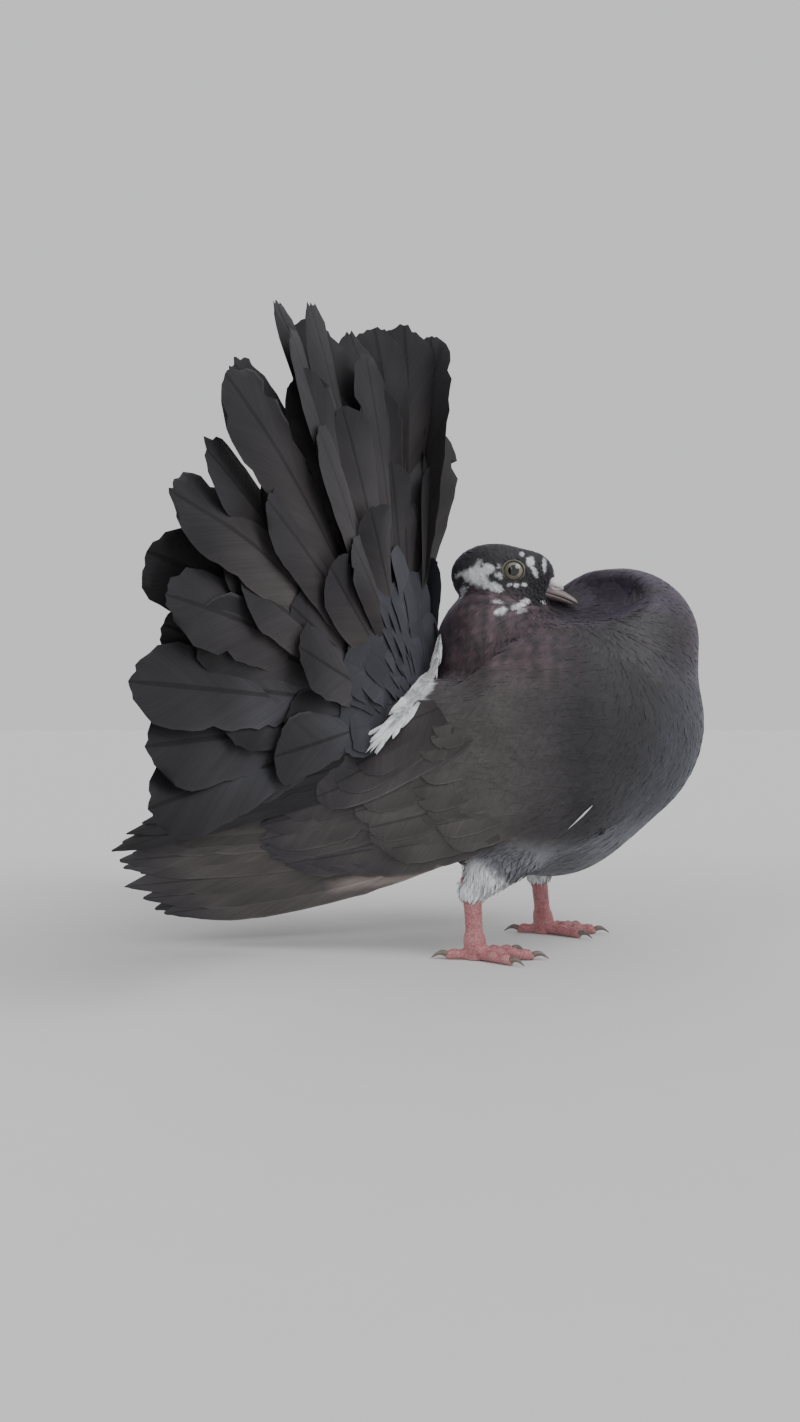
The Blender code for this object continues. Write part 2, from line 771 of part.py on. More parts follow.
def to_world(obj):
    """Moves a piece from the head's own frame to its place."""
    turn = Matrix.Rotation(HEAD_YAW, 4, "Z") @ Matrix.Rotation(HEAD_PITCH, 4, "Y")
    obj.data.transform(Matrix.Translation(HEAD_PLACE) @ turn)
    return obj


def ball(name, centre, radii, segments, rings, kind, turn=None):
    shape = bmesh.new()
    bmesh.ops.create_uvsphere(shape, u_segments=segments, v_segments=rings, radius=1)
    bmesh.ops.scale(shape, verts=shape.verts, vec=radii)
    if turn is not None:
        bmesh.ops.transform(shape, verts=shape.verts, matrix=turn)
    bmesh.ops.translate(shape, verts=shape.verts, vec=centre)
    bmesh.ops.triangulate(shape, faces=shape.faces)
    return object_from(shape, name, kind)


def eye_axis(side):
    return Vector((math.sin(EYE_TURN), side * math.cos(EYE_TURN), 0.0))


def lid_ring(side):
    """The bare ring of the lids round one eye."""
    axis = eye_axis(side)
    up = Vector((0, 0, 1))
    ahead = up.cross(axis)
    points = []
    faces = []
    around, through = LID_AROUND, LID_THROUGH
    for i in range(around):
        a = 2 * math.pi * i / around
        out = ahead * math.cos(a) + up * math.sin(a)
        for k in range(through):
            b = 2 * math.pi * k / through
            reach = out * (LID_RADIUS + LID_THICKNESS * math.cos(b))
            points.append(axis * (LID_DEPTH + LID_TALLNESS * LID_THICKNESS * math.sin(b)) + reach)
    for i in range(around):
        for k in range(through):
            a, b = i * through + k, i * through + (k + 1) % through
            c, d = ((i + 1) % around) * through + (k + 1) % through, ((i + 1) % around) * through + k
            faces += [(a, b, c), (a, c, d)]
    ring_object = add_object("lids", points, faces)
    face_outwards(ring_object.data)
    return ring_object


def mandible(name, upper):
    """One half of the bill: a tapering tube that bends down to its tip, flat where the halves meet."""
    rings = []
    tip = BILL_TIP if upper else BILL_TIP - BILL_LOWER_SHORTER
    for step in range(BILL_STEPS + 1):
        share = step / BILL_STEPS
        x = BILL_ROOT + (tip - BILL_ROOT) * share
        taper = math.sqrt(max(1 - share**BILL_ROUNDING, 0.0)) * (1 - BILL_TAPER * share) + BILL_TIP_SIZE
        droop = BILL_SLOPE * share + BILL_HOOK * share**3
        width = BILL_HALF_WIDTH * taper
        height = (BILL_UPPER_HEIGHT if upper else BILL_LOWER_HEIGHT) * (taper * 0.9 + 0.1)
        seam = GAPE_HEIGHT - droop + (GAP / 2 if upper else -GAP / 2)
        points = []
        for k in range(BILL_HALF_SIDES):
            a = math.pi * k / (BILL_HALF_SIDES - 1)
            rise = math.sin(a) * height * (1 if upper else -1)
            points.append(Vector((x, width * math.cos(a), seam + rise)))
        rings.append(points)
    return loft(name, rings, "bill")


def build_head(flesh):
    shape = rounded_mesh(head_distance, HEAD_HEART, HEAD_RINGS, HEAD_SEGMENTS, HEAD_REACH)
    head = object_from(shape, "head", "plumage")
    head = join(head, [lid_ring(side) for side in (1, -1)])
    eyes = {}
    for name, side in (("eye_left", 1), ("eye_right", -1)):
        centre = eye_axis(side) * EYE_DEPTH
        turn = Vector((0, 0, 1)).rotation_difference(eye_axis(side)).to_matrix().to_4x4()
        socket = ball("socket", centre, (EYE_RADIUS + GAP,) * 3, EYE_SEGMENTS, EYE_RINGS, "eye", turn)
        head = cut_away(head, socket)
        eyes[name] = ball(name, centre, (EYE_RADIUS,) * 3, EYE_SEGMENTS, EYE_RINGS, "eye", turn)
    bill_upper = mandible("bill_upper", True)
    bill_lower = mandible("bill_lower", False)
    cere = ball("cere", CERE_PLACE, CERE_SIZE, 8, 6, "cere")
    other_side = (CERE_PLACE[0], -CERE_PLACE[1], CERE_PLACE[2])
    cere = join(cere, [ball("cere_side", other_side, CERE_SIZE, 8, 6, "cere")])
    for side in (1, -1):
        ahead, out, up = (place + shift for place, shift in zip(CERE_PLACE, NOSTRIL_SHIFT))
        place = (ahead, side * out, up)
        cere = cut_away(cere, ball("nostril", place, NOSTRIL_SIZE, 8, 5, "cere"))
    for piece in (bill_upper, bill_lower, cere):
        cut_away(piece, grown_copy(head))
    cut_away(cere, grown_copy(bill_upper))
    for piece in (head, bill_upper, bill_lower, cere, *eyes.values()):
        to_world(piece)
        shade(piece)
    cut_away(head, grown_copy(flesh))
    return head, bill_upper, bill_lower


# Body


def build_body():
    """The whole flesh as one closed shape, parted by two thin cuts."""
    whole = object_from(
        rounded_mesh(body_distance, BODY_HEART, FLESH_RINGS, FLESH_SEGMENTS, RAY_REACH),
        "whole",
        "plumage",
    )
    neck_normal = Vector((-math.sin(NECK_CUT_RISE), 0, math.cos(NECK_CUT_RISE)))
    tail_normal = Vector((-math.cos(TAIL_CUT_LEAN), 0, math.sin(TAIL_CUT_LEAN)))
    half = GAP / 2
    made = {}
    cuts = {
        "torso": ((NECK_CUT_POINT, -neck_normal), (TAIL_CUT_POINT, -tail_normal)),
        "neck": ((NECK_CUT_POINT, neck_normal),),
        "tail_base": ((TAIL_CUT_POINT, tail_normal), (NECK_CUT_POINT, -neck_normal)),
    }
    for name, planes in cuts.items():
        shape = bmesh.new()
        shape.from_mesh(whole.data)
        for point, normal in planes:
            keep_side(shape, point + normal * half, normal)
        made[name] = object_from(shape, name, "neck" if name == "neck" else "plumage")
        face_outwards(made[name].data)
        shade(made[name])
    return whole, made


# Legs


def build_thigh(name, side_name, flesh):
    """The feathered thigh, a tapering tube from the flank to the hock."""
    top, hock = THIGH_TOPS[side_name], HOCKS[side_name]
    way = hock - top
    rings = []
    for share, radius in THIGH_RINGS:
        rings.append(ring(top + way * share, way, radius, THIGH_SIDES))
    thigh = loft(name, rings)
    shape = bmesh.new()
    shape.from_mesh(thigh.data)
    keep_side(shape, Vector((0, 0, THIGH_END_Z + GAP)), Vector((0, 0, 1)))
    shape.to_mesh(thigh.data)
    shape.free()
    cut_away(thigh, grown_copy(flesh))
    shade(thigh)
    return thigh


def build_shank(name, side_name):
    hock, ankle = HOCKS[side_name], ANKLES[side_name]
    way = ankle - hock
    rings = []
    for z, size in SHANK_RINGS:
        centre = hock + way * ((hock.z - z) / (hock.z - ankle.z))
        rings.append(
            [
                centre
                + Vector(
                    (
                        math.cos(2 * math.pi * i / SHANK_SIDES) * SHANK_RADIUS * size * SHANK_DEPTH,
                        math.sin(2 * math.pi * i / SHANK_SIDES) * SHANK_RADIUS * size,
                        0,
                    )
                )
                for i in range(SHANK_SIDES)
            ]
        )
    shade(loft(name, rings, "skin"))


def toe_line(ankle, bearing, length):
    """Points along the middle of a toe, from the ankle down to where it lies on the floor."""
    ahead = Vector((math.cos(bearing), math.sin(bearing), 0))
    foot = Vector((ankle.x, ankle.y, 0))
    return [foot + ahead * length * s + Vector((0, 0, h)) for s, h in zip(TOE_SHARES, TOE_HEIGHTS)]


def flattened(points):
    return [Vector((p.x, p.y, max(p.z, 0.0))) for p in points]


def build_foot(side_name, sign):
    ankle = ANKLES[side_name]
    rings = []
    for z, size in ANKLE_RINGS:
        turns = [2 * math.pi * i / SHANK_SIDES for i in range(SHANK_SIDES)]
        rings.append(
            [
                Vector(
                    (
                        ankle.x + math.cos(a) * SHANK_RADIUS * size * SHANK_DEPTH,
                        ankle.y + math.sin(a) * SHANK_RADIUS * size,
                        z,
                    )
                )
                for a in turns
            ]
        )
    foot = loft("foot_" + side_name, rings, "skin")
    toes = []
    for name, degrees, length, radius in TOES:
        bearing = FOOT_HEADING + sign * math.radians(degrees)
        line = toe_line(ankle, bearing, length)
        radii = (*(radius * swelling for swelling in TOE_SWELLINGS), TOE_TIP_RADIUS)
        toe_rings = []
        for i, (point, size) in enumerate(zip(line, radii)):
            ahead = line[min(i + 1, len(line) - 1)] - line[max(i - 1, 0)]
            ahead.z = 0
            lowered = point.copy()
            lowered.z = min(point.z, size - SOLE_SINK) if i else point.z
            toe_rings.append(flattened(ring(lowered, ahead, size, TOE_SIDES)))
        toes.append(loft("toe", toe_rings, "skin"))
        build_claw(f"claw_{side_name}_{name}", line[-1], bearing)
    shade(join(foot, toes))


def build_claw(name, root, bearing):
    """A claw that starts the gap ahead of its toe and bends down to just above the floor."""
    ahead = Vector((math.cos(bearing), math.sin(bearing), 0))
    rings = []
    for share in CLAW_SHARES:
        size = CLAW_RADIUS * (1 - CLAW_TAPER * share)
        bend = CLAW_RISE * math.sin(math.pi * share) - CLAW_DROP * share**2
        centre = root + ahead * (GAP + CLAW_LENGTH * share) + Vector((0, 0, bend))
        centre.z = max(centre.z, size + GAP)
        rings.append(ring(centre, ahead, size, CLAW_SIDES))
    shade(loft(name, rings, "claw"))


def move_to_origin():
    """Puts the origin on the floor under the middle of the whole bird's box."""
    bpy.context.view_layer.update()
    points = np.array([v.co for o in bpy.data.objects for v in o.data.vertices])
    low, high = points.min(axis=0), points.max(axis=0)
    shift = Matrix.Translation((-(low[0] + high[0]) / 2, -(low[1] + high[1]) / 2, -low[2]))
    for obj in bpy.data.objects:
        obj.data.transform(shift)


def main():
    clear_scene()
    whole, parts = build_body()
    for piece in build_head(whole)[1:]:
        for name in ("neck", "torso"):
            cut_away(parts[name], grown_copy(piece))
    build_fan(whole)
    for side_name, side in (("right", -1), ("left", 1)):
        thigh = build_thigh("thigh_" + side_name, side_name, whole)
        build_wing("wing_" + side_name, side, (whole, thigh))
        build_shank("shank_" + side_name, side_name)
        build_foot(side_name, side)
    bpy.data.objects.remove(whole)
    move_to_origin()


main()
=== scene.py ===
"""Fantail pigeon, life size: its plumage, eyes, bill and feet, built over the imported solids.

Everything is shaped in the bird's own frame, which is the one of the solids' source: +X the way the bird
faces, +Y its left side, +Z up, in metres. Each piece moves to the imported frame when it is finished.
"""

import math

import bmesh
import bpy
import numpy as np
from mathutils import Matrix, Vector


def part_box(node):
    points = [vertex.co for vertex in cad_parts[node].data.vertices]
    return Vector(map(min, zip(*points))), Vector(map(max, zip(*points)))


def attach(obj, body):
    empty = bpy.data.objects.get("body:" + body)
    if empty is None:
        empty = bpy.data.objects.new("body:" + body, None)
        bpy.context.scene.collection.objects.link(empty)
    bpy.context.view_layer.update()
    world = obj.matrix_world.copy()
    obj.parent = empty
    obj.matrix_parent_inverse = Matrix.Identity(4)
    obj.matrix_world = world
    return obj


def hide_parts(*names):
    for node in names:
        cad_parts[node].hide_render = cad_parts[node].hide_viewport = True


bl_info = {
    "name": "Fantail Pigeon",
    "version": (1, 0, 0),
    "blender": (4, 5, 0),
    "location": "View3D > Sidebar > Pigeon",
    "description": "Feathers, eyes, bill and feet of a life-size fantail pigeon",
    "category": "Object",
}

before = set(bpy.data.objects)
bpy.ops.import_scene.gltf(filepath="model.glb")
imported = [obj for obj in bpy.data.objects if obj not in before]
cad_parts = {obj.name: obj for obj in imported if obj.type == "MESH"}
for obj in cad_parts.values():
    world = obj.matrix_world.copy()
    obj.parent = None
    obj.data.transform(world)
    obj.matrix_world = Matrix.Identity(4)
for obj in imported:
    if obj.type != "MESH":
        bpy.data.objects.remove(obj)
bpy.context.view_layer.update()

MM = 0.001
BODY = "root"

# Flesh: rounded masses as centre and half sizes, the same as the solids have.
BREAST = ((0.038, 0.0, 0.091), (0.053, 0.046, 0.050))
CROP = ((0.057, 0.002, 0.123), (0.033, 0.032, 0.0315))
BELLY = ((0.027, 0.0, 0.066), (0.040, 0.038, 0.039))
NECK_COLUMN = ((0.004, 0.0, 0.116), (0.024, 0.025, 0.031))
RUMP = ((-0.008, 0.0, 0.084), (0.030, 0.029, 0.024))
TAIL_STUMP = ((-0.030, 0.0, 0.093), (0.015, 0.016, 0.014))
BODY_MASSES = (BREAST, CROP, BELLY, NECK_COLUMN, RUMP, TAIL_STUMP)
MANTLE = ((-0.016, 0.021, 0.0935), (0.021, 0.020, 0.0150))
MANTLE_BLEND = 0.006
BILL_CREASE = ((0.036, -0.026, 0.1430), (0.026, 0.022, 0.0130))
BODY_BLEND = 0.009
CREASE_BLEND = 0.004

HEAD_PLACE = Vector((0.0134, -0.003, 0.1506))
HEAD_TURN = Matrix.Rotation(math.radians(-13), 3, "Z") @ Matrix.Rotation(math.radians(10), 3, "Y")
SKULL = ((-0.0055, 0.0, -0.0025), (0.0200, 0.0116, 0.0140))
FACE = ((0.0072, 0.0, 0.0000), (0.0092, 0.0084, 0.0092))
THROAT = ((0.0022, 0.0, -0.0092), (0.0125, 0.0096, 0.0082))
HEAD_MASSES = (SKULL, FACE, THROAT)
HEAD_BLEND = 0.004
NAPE_BLEND = 0.005

EYE_RADIUS = 0.0053
EYE_DEPTH = 0.0064
EYE_TURN = math.radians(8)
EYE_FRONT = 0.0105
GAPE_HEIGHT = -0.0056
BILL_ROOT_X = 0.0118
BILL_TIP_X = 0.0278

HOCKS = {"right": Vector((-0.0050, -0.0265, 0.0260)), "left": Vector((0.0270, 0.0265, 0.0260))}
ANKLES = {"right": Vector((-0.0040, -0.0270, 0.0070)), "left": Vector((0.0290, 0.0270, 0.0070))}
THIGH_TOPS = {"right": Vector((0.0160, -0.0220, 0.0520)), "left": Vector((0.0330, 0.0220, 0.0520))}
THIGH_BLEND = 0.007
SIDES = {"right": -1, "left": 1}
SKIN_DEPTH = 0.0018
HEAD_SKIN_DEPTH = 0.0008

FLESH_NODES = ("torso", "neck", "head", "tail_base", "thigh_left", "thigh_right")
EYE_NODES = ("eye_left", "eye_right")

# Tail fan.
FAN_CENTRE = np.array((-0.0325, 0.0, 0.094))
FAN_LEAN_TOP = math.radians(-7)
FAN_LEAN_SIDE = math.radians(25)
FAN_LEAN_BEND = 0.60
FAN_LENGTH_TOP = 0.150
FAN_LENGTH_SIDE = 0.160
FAN_LENGTH_BULGE = 0.006
FAN_EDGE = math.radians(98)

# Wing seen from the side: x, lower edge z, upper edge z.
SHIELD_STATIONS = np.array(
    (
        (0.0730, 0.0870, 0.1020),
        (0.0665, 0.0690, 0.1130),
        (0.0540, 0.0545, 0.1215),
        (0.0380, 0.0450, 0.1255),
        (0.0200, 0.0400, 0.1245),
        (0.0020, 0.0375, 0.1180),
        (-0.0140, 0.0370, 0.1020),
        (-0.0280, 0.0380, 0.0860),
        (-0.0400, 0.0400, 0.0760),
    )
)
WING_PLANE = (0.0430, 0.0200)
WING_PLANE_X = (0.020, -0.140)
WING_GRID_X = np.linspace(-0.165, 0.085, 126)
WING_GRID_Z = np.linspace(0.010, 0.135, 64)
WING_ARM_REAR = -0.032
WING_ARM_THICKNESS = 0.0055
WING_ARM_DEPTH = 0.0040
WING_BLEND = 0.006

# What the operators hand on to each other
bird = {}
ROOT_POOL_SIZE = 260000


def eye_axis(side):
    return Vector((math.sin(EYE_TURN), side * math.cos(EYE_TURN), 0.0))


def head_point(place):
    """A place in the head's own frame, moved to the bird's."""
    return HEAD_PLACE + HEAD_TURN @ Vector(place)


def origin_offset():
    """From the bird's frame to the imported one, read from where the right eye is."""
    low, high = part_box("eye_right")
    return (low + high) / 2 - head_point(eye_axis(-1) * EYE_DEPTH)


OFFSET = origin_offset()


# Small numeric helpers


def smooth(low, high, value):
    share = np.clip((value - low) / (high - low), 0, 1)
    return share * share * (3 - 2 * share)


def unit(vectors):
    return vectors / np.maximum(np.linalg.norm(vectors, axis=-1, keepdims=True), 1e-12)


def ripple(points, size, seed):
    """A smooth random pattern between about -1 and 1 whose waves are about this size."""
    rng = np.random.default_rng(seed)
    ways = unit(rng.normal(size=(9, 3))) * rng.uniform(0.6, 1.6, (9, 1)) * (2 * math.pi / size)
    turns = rng.uniform(0, 2 * math.pi, 9)
    return np.sin(points @ ways.T + turns).sum(axis=-1) / 4.0


def mixed(colour, other, share):
    share = np.asarray(share)[..., None]
    return colour * (1 - share) + np.asarray(other) * share


# The flesh as a field of distances


def ellipsoid_distance(points, mass):
    centre, radii = (np.array(v) for v in mass)
    local = points - centre
    scaled = np.linalg.norm(local / radii, axis=-1)
    slope = np.linalg.norm(local / radii**2, axis=-1)
    return scaled * (scaled - 1) / np.maximum(slope, 1e-9)


def blended(a, b, width):
    share = np.clip(0.5 + 0.5 * (b - a) / width, 0, 1)
    return b * (1 - share) + a * share - width * share * (1 - share)


def masses_distance(points, masses, width):
    total = ellipsoid_distance(points, masses[0])
    for mass in masses[1:]:
        total = blended(total, ellipsoid_distance(points, mass), width)
    return total


def body_distance(points):
    whole = masses_distance(points, BODY_MASSES, BODY_BLEND)
    crease = ellipsoid_distance(points, BILL_CREASE)
    return -blended(-whole, crease, CREASE_BLEND)


def in_head(points):
    """Places in the head's own frame."""
    return (points - np.array(HEAD_PLACE)) @ np.array(HEAD_TURN)


def head_distance(points):
    return masses_distance(in_head(points), HEAD_MASSES, HEAD_BLEND)


def thigh_distance(points, name):
    top, hock = np.array(THIGH_TOPS[name]), np.array(HOCKS[name])
    way = hock - top
    share = np.clip(((points - top) @ way) / (way @ way), 0.0, 1.0)
    width = np.interp(share, (0.0, 0.35, 0.7, 1.0), (0.0150, 0.0150, 0.0104, 0.0062))
    return np.linalg.norm(points - top - share[..., None] * way, axis=-1) - width


def arm_edges(x):
    """The lower and upper edge of the wing's arm, seen from the side."""
    xs = SHIELD_STATIONS[::-1, 0]
    return (np.interp(x, xs, SHIELD_STATIONS[::-1, k]) for k in (1, 2))


def wing_distance(points):
    """The feathered arm of either wing: a slab on the body's side that thins out to its edges."""
    x, y, z = points[..., 0], np.abs(points[..., 1]), points[..., 2]
    low, high = arm_edges(x)
    inside = np.minimum(z - low, high - z)
    inside = np.minimum(inside, np.minimum(SHIELD_STATIONS[0, 0] - x, x - WING_ARM_REAR))
    inner = sheet_at(x, z)
    front = smooth(0.074, 0.038, x)
    thick = WING_ARM_THICKNESS * front * smooth(-0.003, 0.018, inside)
    thick = thick - 0.0025 * smooth(0.008, -0.002, inside)
    return np.maximum(np.maximum(0.9 * (y - inner - thick), inner - 0.004 - y), -inside)


def flesh_distance(points):
    whole = blended(body_distance(points), wing_distance(points), WING_BLEND)
    mirrored = points * np.where(points[..., 1:2] < 0, (1, -1, 1), 1)
    whole = blended(whole, ellipsoid_distance(mirrored, MANTLE), MANTLE_BLEND)
    whole = blended(whole, head_distance(points), NAPE_BLEND)
    for name in SIDES:
        whole = blended(whole, thigh_distance(points, name), THIGH_BLEND)
    return whole


def head_share(points):
    """1 on the head, 0 on the body."""
    return smooth(-0.0025, 0.0035, body_distance(points) - head_distance(points))


def wing_share(points):
    """1 on the wings' arms, 0 on the body."""
    return smooth(-0.0030, 0.0030, body_distance(points) - wing_distance(points))


def coat_depth(points):
    """How far the skin lies below the plumage's outer surface."""
    local = in_head(points)
    bare = smooth(0.026, 0.014, np.linalg.norm(local - np.array((0.018, 0, -0.004)), axis=-1))
    depth = SKIN_DEPTH + (HEAD_SKIN_DEPTH - SKIN_DEPTH) * head_share(points)
    return depth * (1 - 0.6 * bare)


def slope_of(field, points, step=0.0004):
    """The field's gradient."""
    parts = []
    for axis in range(3):
        move = np.zeros(3)
        move[axis] = step
        parts.append((field(points + move) - field(points - move)) / (2 * step))
    return np.stack(parts, axis=-1)


def settle(points, height, rounds=3):
    """Moves points to a height over the skin, and gives the way out of the skin there."""
    points = np.array(points, float)
    target = height - coat_depth(points)
    for _ in range(rounds):
        slope = slope_of(flesh_distance, points)
        miss = flesh_distance(points) - target
        step = slope * (miss / np.maximum((slope**2).sum(axis=-1), 0.05))[..., None]
        size = np.linalg.norm(step, axis=-1, keepdims=True)
        points = points - step * np.minimum(1.0, 0.006 / np.maximum(size, 1e-9))
    return points, unit(slope_of(flesh_distance, points))


# Markings, in the side view: places in millimetres from the right eye, ahead and up


FACE_MARKS = (
    # ahead, up, half length, half width, turn in degrees, strength
    (-14.4, -0.8, 4.6, 3.4, 18, 1.0),
    (-10.0, 0.7, 2.5, 2.2, 0, 1.0),
    (-12.6, -4.0, 3.4, 1.5, 8, 0.9),
    (-21.3, -0.6, 2.8, 1.0, 18, 0.6),
    (-25.0, -3.4, 2.0, 0.9, 24, 0.5),
    (-19.6, -7.4, 2.9, 1.1, 62, 0.85),
    (-8.1, -6.3, 4.3, 1.6, -14, 1.0),
    (-13.2, 3.9, 1.6, 1.0, 20, 0.5),
    (-5.5, 1.7, 1.2, 0.6, 15, 0.75),
    (-5.7, -1.9, 1.8, 1.0, -10, 0.8),
    (3.7, 7.1, 1.0, 1.0, 0, 0.6),
    (6.9, 3.5, 1.5, 2.5, 8, 1.0),
    (8.5, -0.4, 1.1, 2.0, 20, 0.85),
    (12.6, 3.2, 0.9, 3.6, -4, 0.8),
    (-1.4, -5.7, 1.0, 0.5, 0, 0.8),
    (1.0, -5.8, 0.9, 0.8, 0, 0.9),
    (4.1, -5.6, 1.2, 0.7, 0, 0.9),
    (-6.5, -12.6, 2.0, 0.7, -8, 0.6),
    (-5.5, -16.5, 2.2, 1.5, 20, 0.85),
    (0.6, -14.6, 2.0, 1.3, 22, 0.95),
    (4.3, -12.6, 2.0, 1.5, 30, 0.9),
    (3.0, -16.2, 2.4, 1.1, 12, 0.5),
    (13.4, -12.4, 2.0, 0.7, -8, 0.85),
)
BACK_LINE = ((-0.0195, 0.1290), (-0.0210, 0.1150), (-0.0225, 0.1050), (-0.0330, 0.0900), (-0.0480, 0.0740))
BACK_WIDTHS = (0.0010, 0.0020, 0.0028, 0.0052, 0.0022)


def face_mask(points):
    """How white the face is, with frayed edges."""
    eye = np.array(head_point(eye_axis(-1) * (EYE_DEPTH + EYE_RADIUS)))
    ahead = (points[..., 0] - eye[0]) / MM
    up = (points[..., 2] - eye[2]) / MM
    far_side = points[..., 1] > HEAD_PLACE.y
    ahead = np.where(far_side, ahead * 1.06 - 4.0, ahead)
    fray = 0.22 * ripple(points * np.array((1.0, 1.0, 1.8)), 0.0026, 5)
    fray = fray + 0.14 * ripple(points, 0.0011, 6)
    total = np.zeros(points.shape[:-1])
    for x, z, half_length, half_width, degrees, strength in FACE_MARKS:
        turn = math.radians(degrees)
        a = (ahead - x) * math.cos(turn) + (up - z) * math.sin(turn)
        b = (up - z) * math.cos(turn) - (ahead - x) * math.sin(turn)
        reach = np.sqrt((a / half_length) ** 2 + (b / half_width) ** 2) + fray
        total = np.maximum(total, strength * (1 - smooth(0.80, 1.20, reach)))
    side = np.abs(in_head(points)[..., 1])
    return total * smooth(0.0020, 0.0050, side)


def back_mask(points):
    """The white line down the side of the neck, where it meets the tail."""
    place = points[..., (0, 2)]
    best = np.zeros(points.shape[:-1])
    for i in range(len(BACK_LINE) - 1):
        start, end = np.array(BACK_LINE[i]), np.array(BACK_LINE[i + 1])
        way = end - start
        share = np.clip(((place - start) @ way) / (way @ way), 0, 1)
        away = np.linalg.norm(place - start - share[..., None] * way, axis=-1)
        width = BACK_WIDTHS[i] + (BACK_WIDTHS[i + 1] - BACK_WIDTHS[i]) * share
        reach = away / width + 0.25 * ripple(points, 0.003, 8)
        best = np.maximum(best, 1 - smooth(0.7, 1.2, reach))
    return best * smooth(0.009, 0.014, np.abs(points[..., 1]))


def plumage_colour(points):
    """The coat's colour at each place, the same for the skin under it."""
    colours = bpy.context.scene.pigeon_colours
    x, z = points[..., 0], points[..., 2]
    head = head_share(points)
    colour = np.zeros(points.shape) + np.array(colours.soot)
    front = smooth(0.055, 0.085, x + 0.35 * (0.105 - z))
    colour = mixed(colour, colours.slate, 0.70 * front * smooth(0.125, 0.095, z) * (1 - head))
    neck_side = smooth(0.040, 0.012, x) * smooth(0.097, 0.112, z) * (1 - head)
    speckle = np.clip(0.5 + 0.4 * ripple(points, 0.006, 3), 0.15, 1)
    colour = mixed(colour, colours.bronze, 0.75 * neck_side * speckle)
    hump = smooth(0.033, 0.046, x) * smooth(0.128, 0.140, z) * (1 - head)
    colour = mixed(colour, colours.violet, 0.8 * hump * np.clip(0.55 + 0.35 * ripple(points, 0.012, 4), 0, 1))
    rear = smooth(0.036, 0.004, x) * smooth(0.118, 0.100, z) * (1 - head)
    colour = mixed(colour, colours.dust, 0.75 * rear)
    below = smooth(0.058, 0.044, z + 0.10 * np.maximum(0.012 - x, 0)) * smooth(-0.020, 0.004, x)
    streaks = np.clip(0.5 + 0.5 * ripple(points * np.array((0.45, 0.45, 1.6)), 0.008, 9), 0, 1)
    pale = (0.70 + 0.25 * streaks) * below * (1 - wing_share(points)) * (1 - head)
    colour = mixed(colour, colours.ash, pale)
    for name in SIDES:
        thigh = smooth(0.004, -0.001, thigh_distance(points, name)) * smooth(0.050, 0.036, z)
        colour = mixed(colour, np.array(colours.ash) * 1.5, 0.9 * thigh)
        ahead = x - HOCKS[name].x
        height = z + 0.9 * np.maximum(ahead - 0.004, 0) + 0.0012 * ripple(points, 0.004, 10)
        knee = smooth(0.0400, 0.0340, height)
        colour = mixed(colour, colours.snow, knee * thigh)
    # Painted highlight: a pale, streaky patch of light on the front of the right breast, in the belly's ash
    # grey.
    out = -points[..., 1]
    edge = smooth(0.0790, 0.0830, x) * np.exp(-(((z - 0.092) / 0.006) ** 2)) * smooth(0.004, 0.010, out)
    colour = mixed(colour, np.array(colours.ash) * 1.1, 0.35 * edge * streaks * smooth(0.022, 0.015, out))
    white = np.maximum(face_mask(points), back_mask(points) * (1 - head))
    colour = mixed(colour, colours.snow, np.clip(white, 0, 1))
    tone = 1 + 0.12 * ripple(points, 0.018, 11) + 0.08 * ripple(points, 0.005, 12)
    return colour * tone[..., None]


# Meshes of many thin closed blades


def blade_faces(rows, columns):
    """Faces of one closed blade: an upper grid, and an under grid that shares its rim.

    Both sides of a blade are cut into triangles along the same diagonals, which slant to its corners.
    """
    first_rows = np.arange(rows - 1)[:, None] < (rows - 1) / 2
    first_columns = np.arange(columns - 1) < (columns - 1) / 2
    straight = (first_rows == first_columns).reshape(-1, 1)
    top = np.arange(rows * columns).reshape(rows, columns)
    under = top.copy()
    inner = rows * columns + np.arange((rows - 2) * (columns - 2))
    under[1:-1, 1:-1] = inner.reshape(rows - 2, columns - 2)

    def quads(grid):
        corners = (grid[:-1, :-1], grid[1:, :-1], grid[1:, 1:], grid[:-1, 1:])
        corners = np.stack(corners, axis=-1).reshape(-1, 4)
        return np.where(straight, corners, np.roll(corners, 1, axis=1))

    return np.concatenate((quads(top), quads(under)[:, (0, 3, 2, 1)]))


def blade_arrays(grid, normals, thickness):
    """Vertices of many blades from their upper grids (count, rows, columns, 3)."""
    count = len(grid)
    thickness = np.broadcast_to(np.asarray(thickness, float).reshape(-1, 1, 1, 1), (count, 1, 1, 1))
    top = grid.reshape(count, -1, 3)
    under = (grid - normals * thickness)[:, 1:-1, 1:-1].reshape(count, -1, 3)
    return np.concatenate((top, under), axis=1)


def blade_values(values):
    """The same order of vertices for a value of any depth on the upper grid."""
    count, depth = len(values), values.shape[-1]
    top = values.reshape(count, -1, depth)
    return np.concatenate((top, values[:, 1:-1, 1:-1].reshape(count, -1, depth)), axis=1)


def looks_in(grid, normals):
    """True where the upper side of a blade's grid would look against its normals."""
    turned = np.cross(grid[1:, :-1] - grid[:-1, :-1], grid[:-1, 1:] - grid[:-1, :-1])
    return (turned * normals[:-1, :-1]).sum() < 0


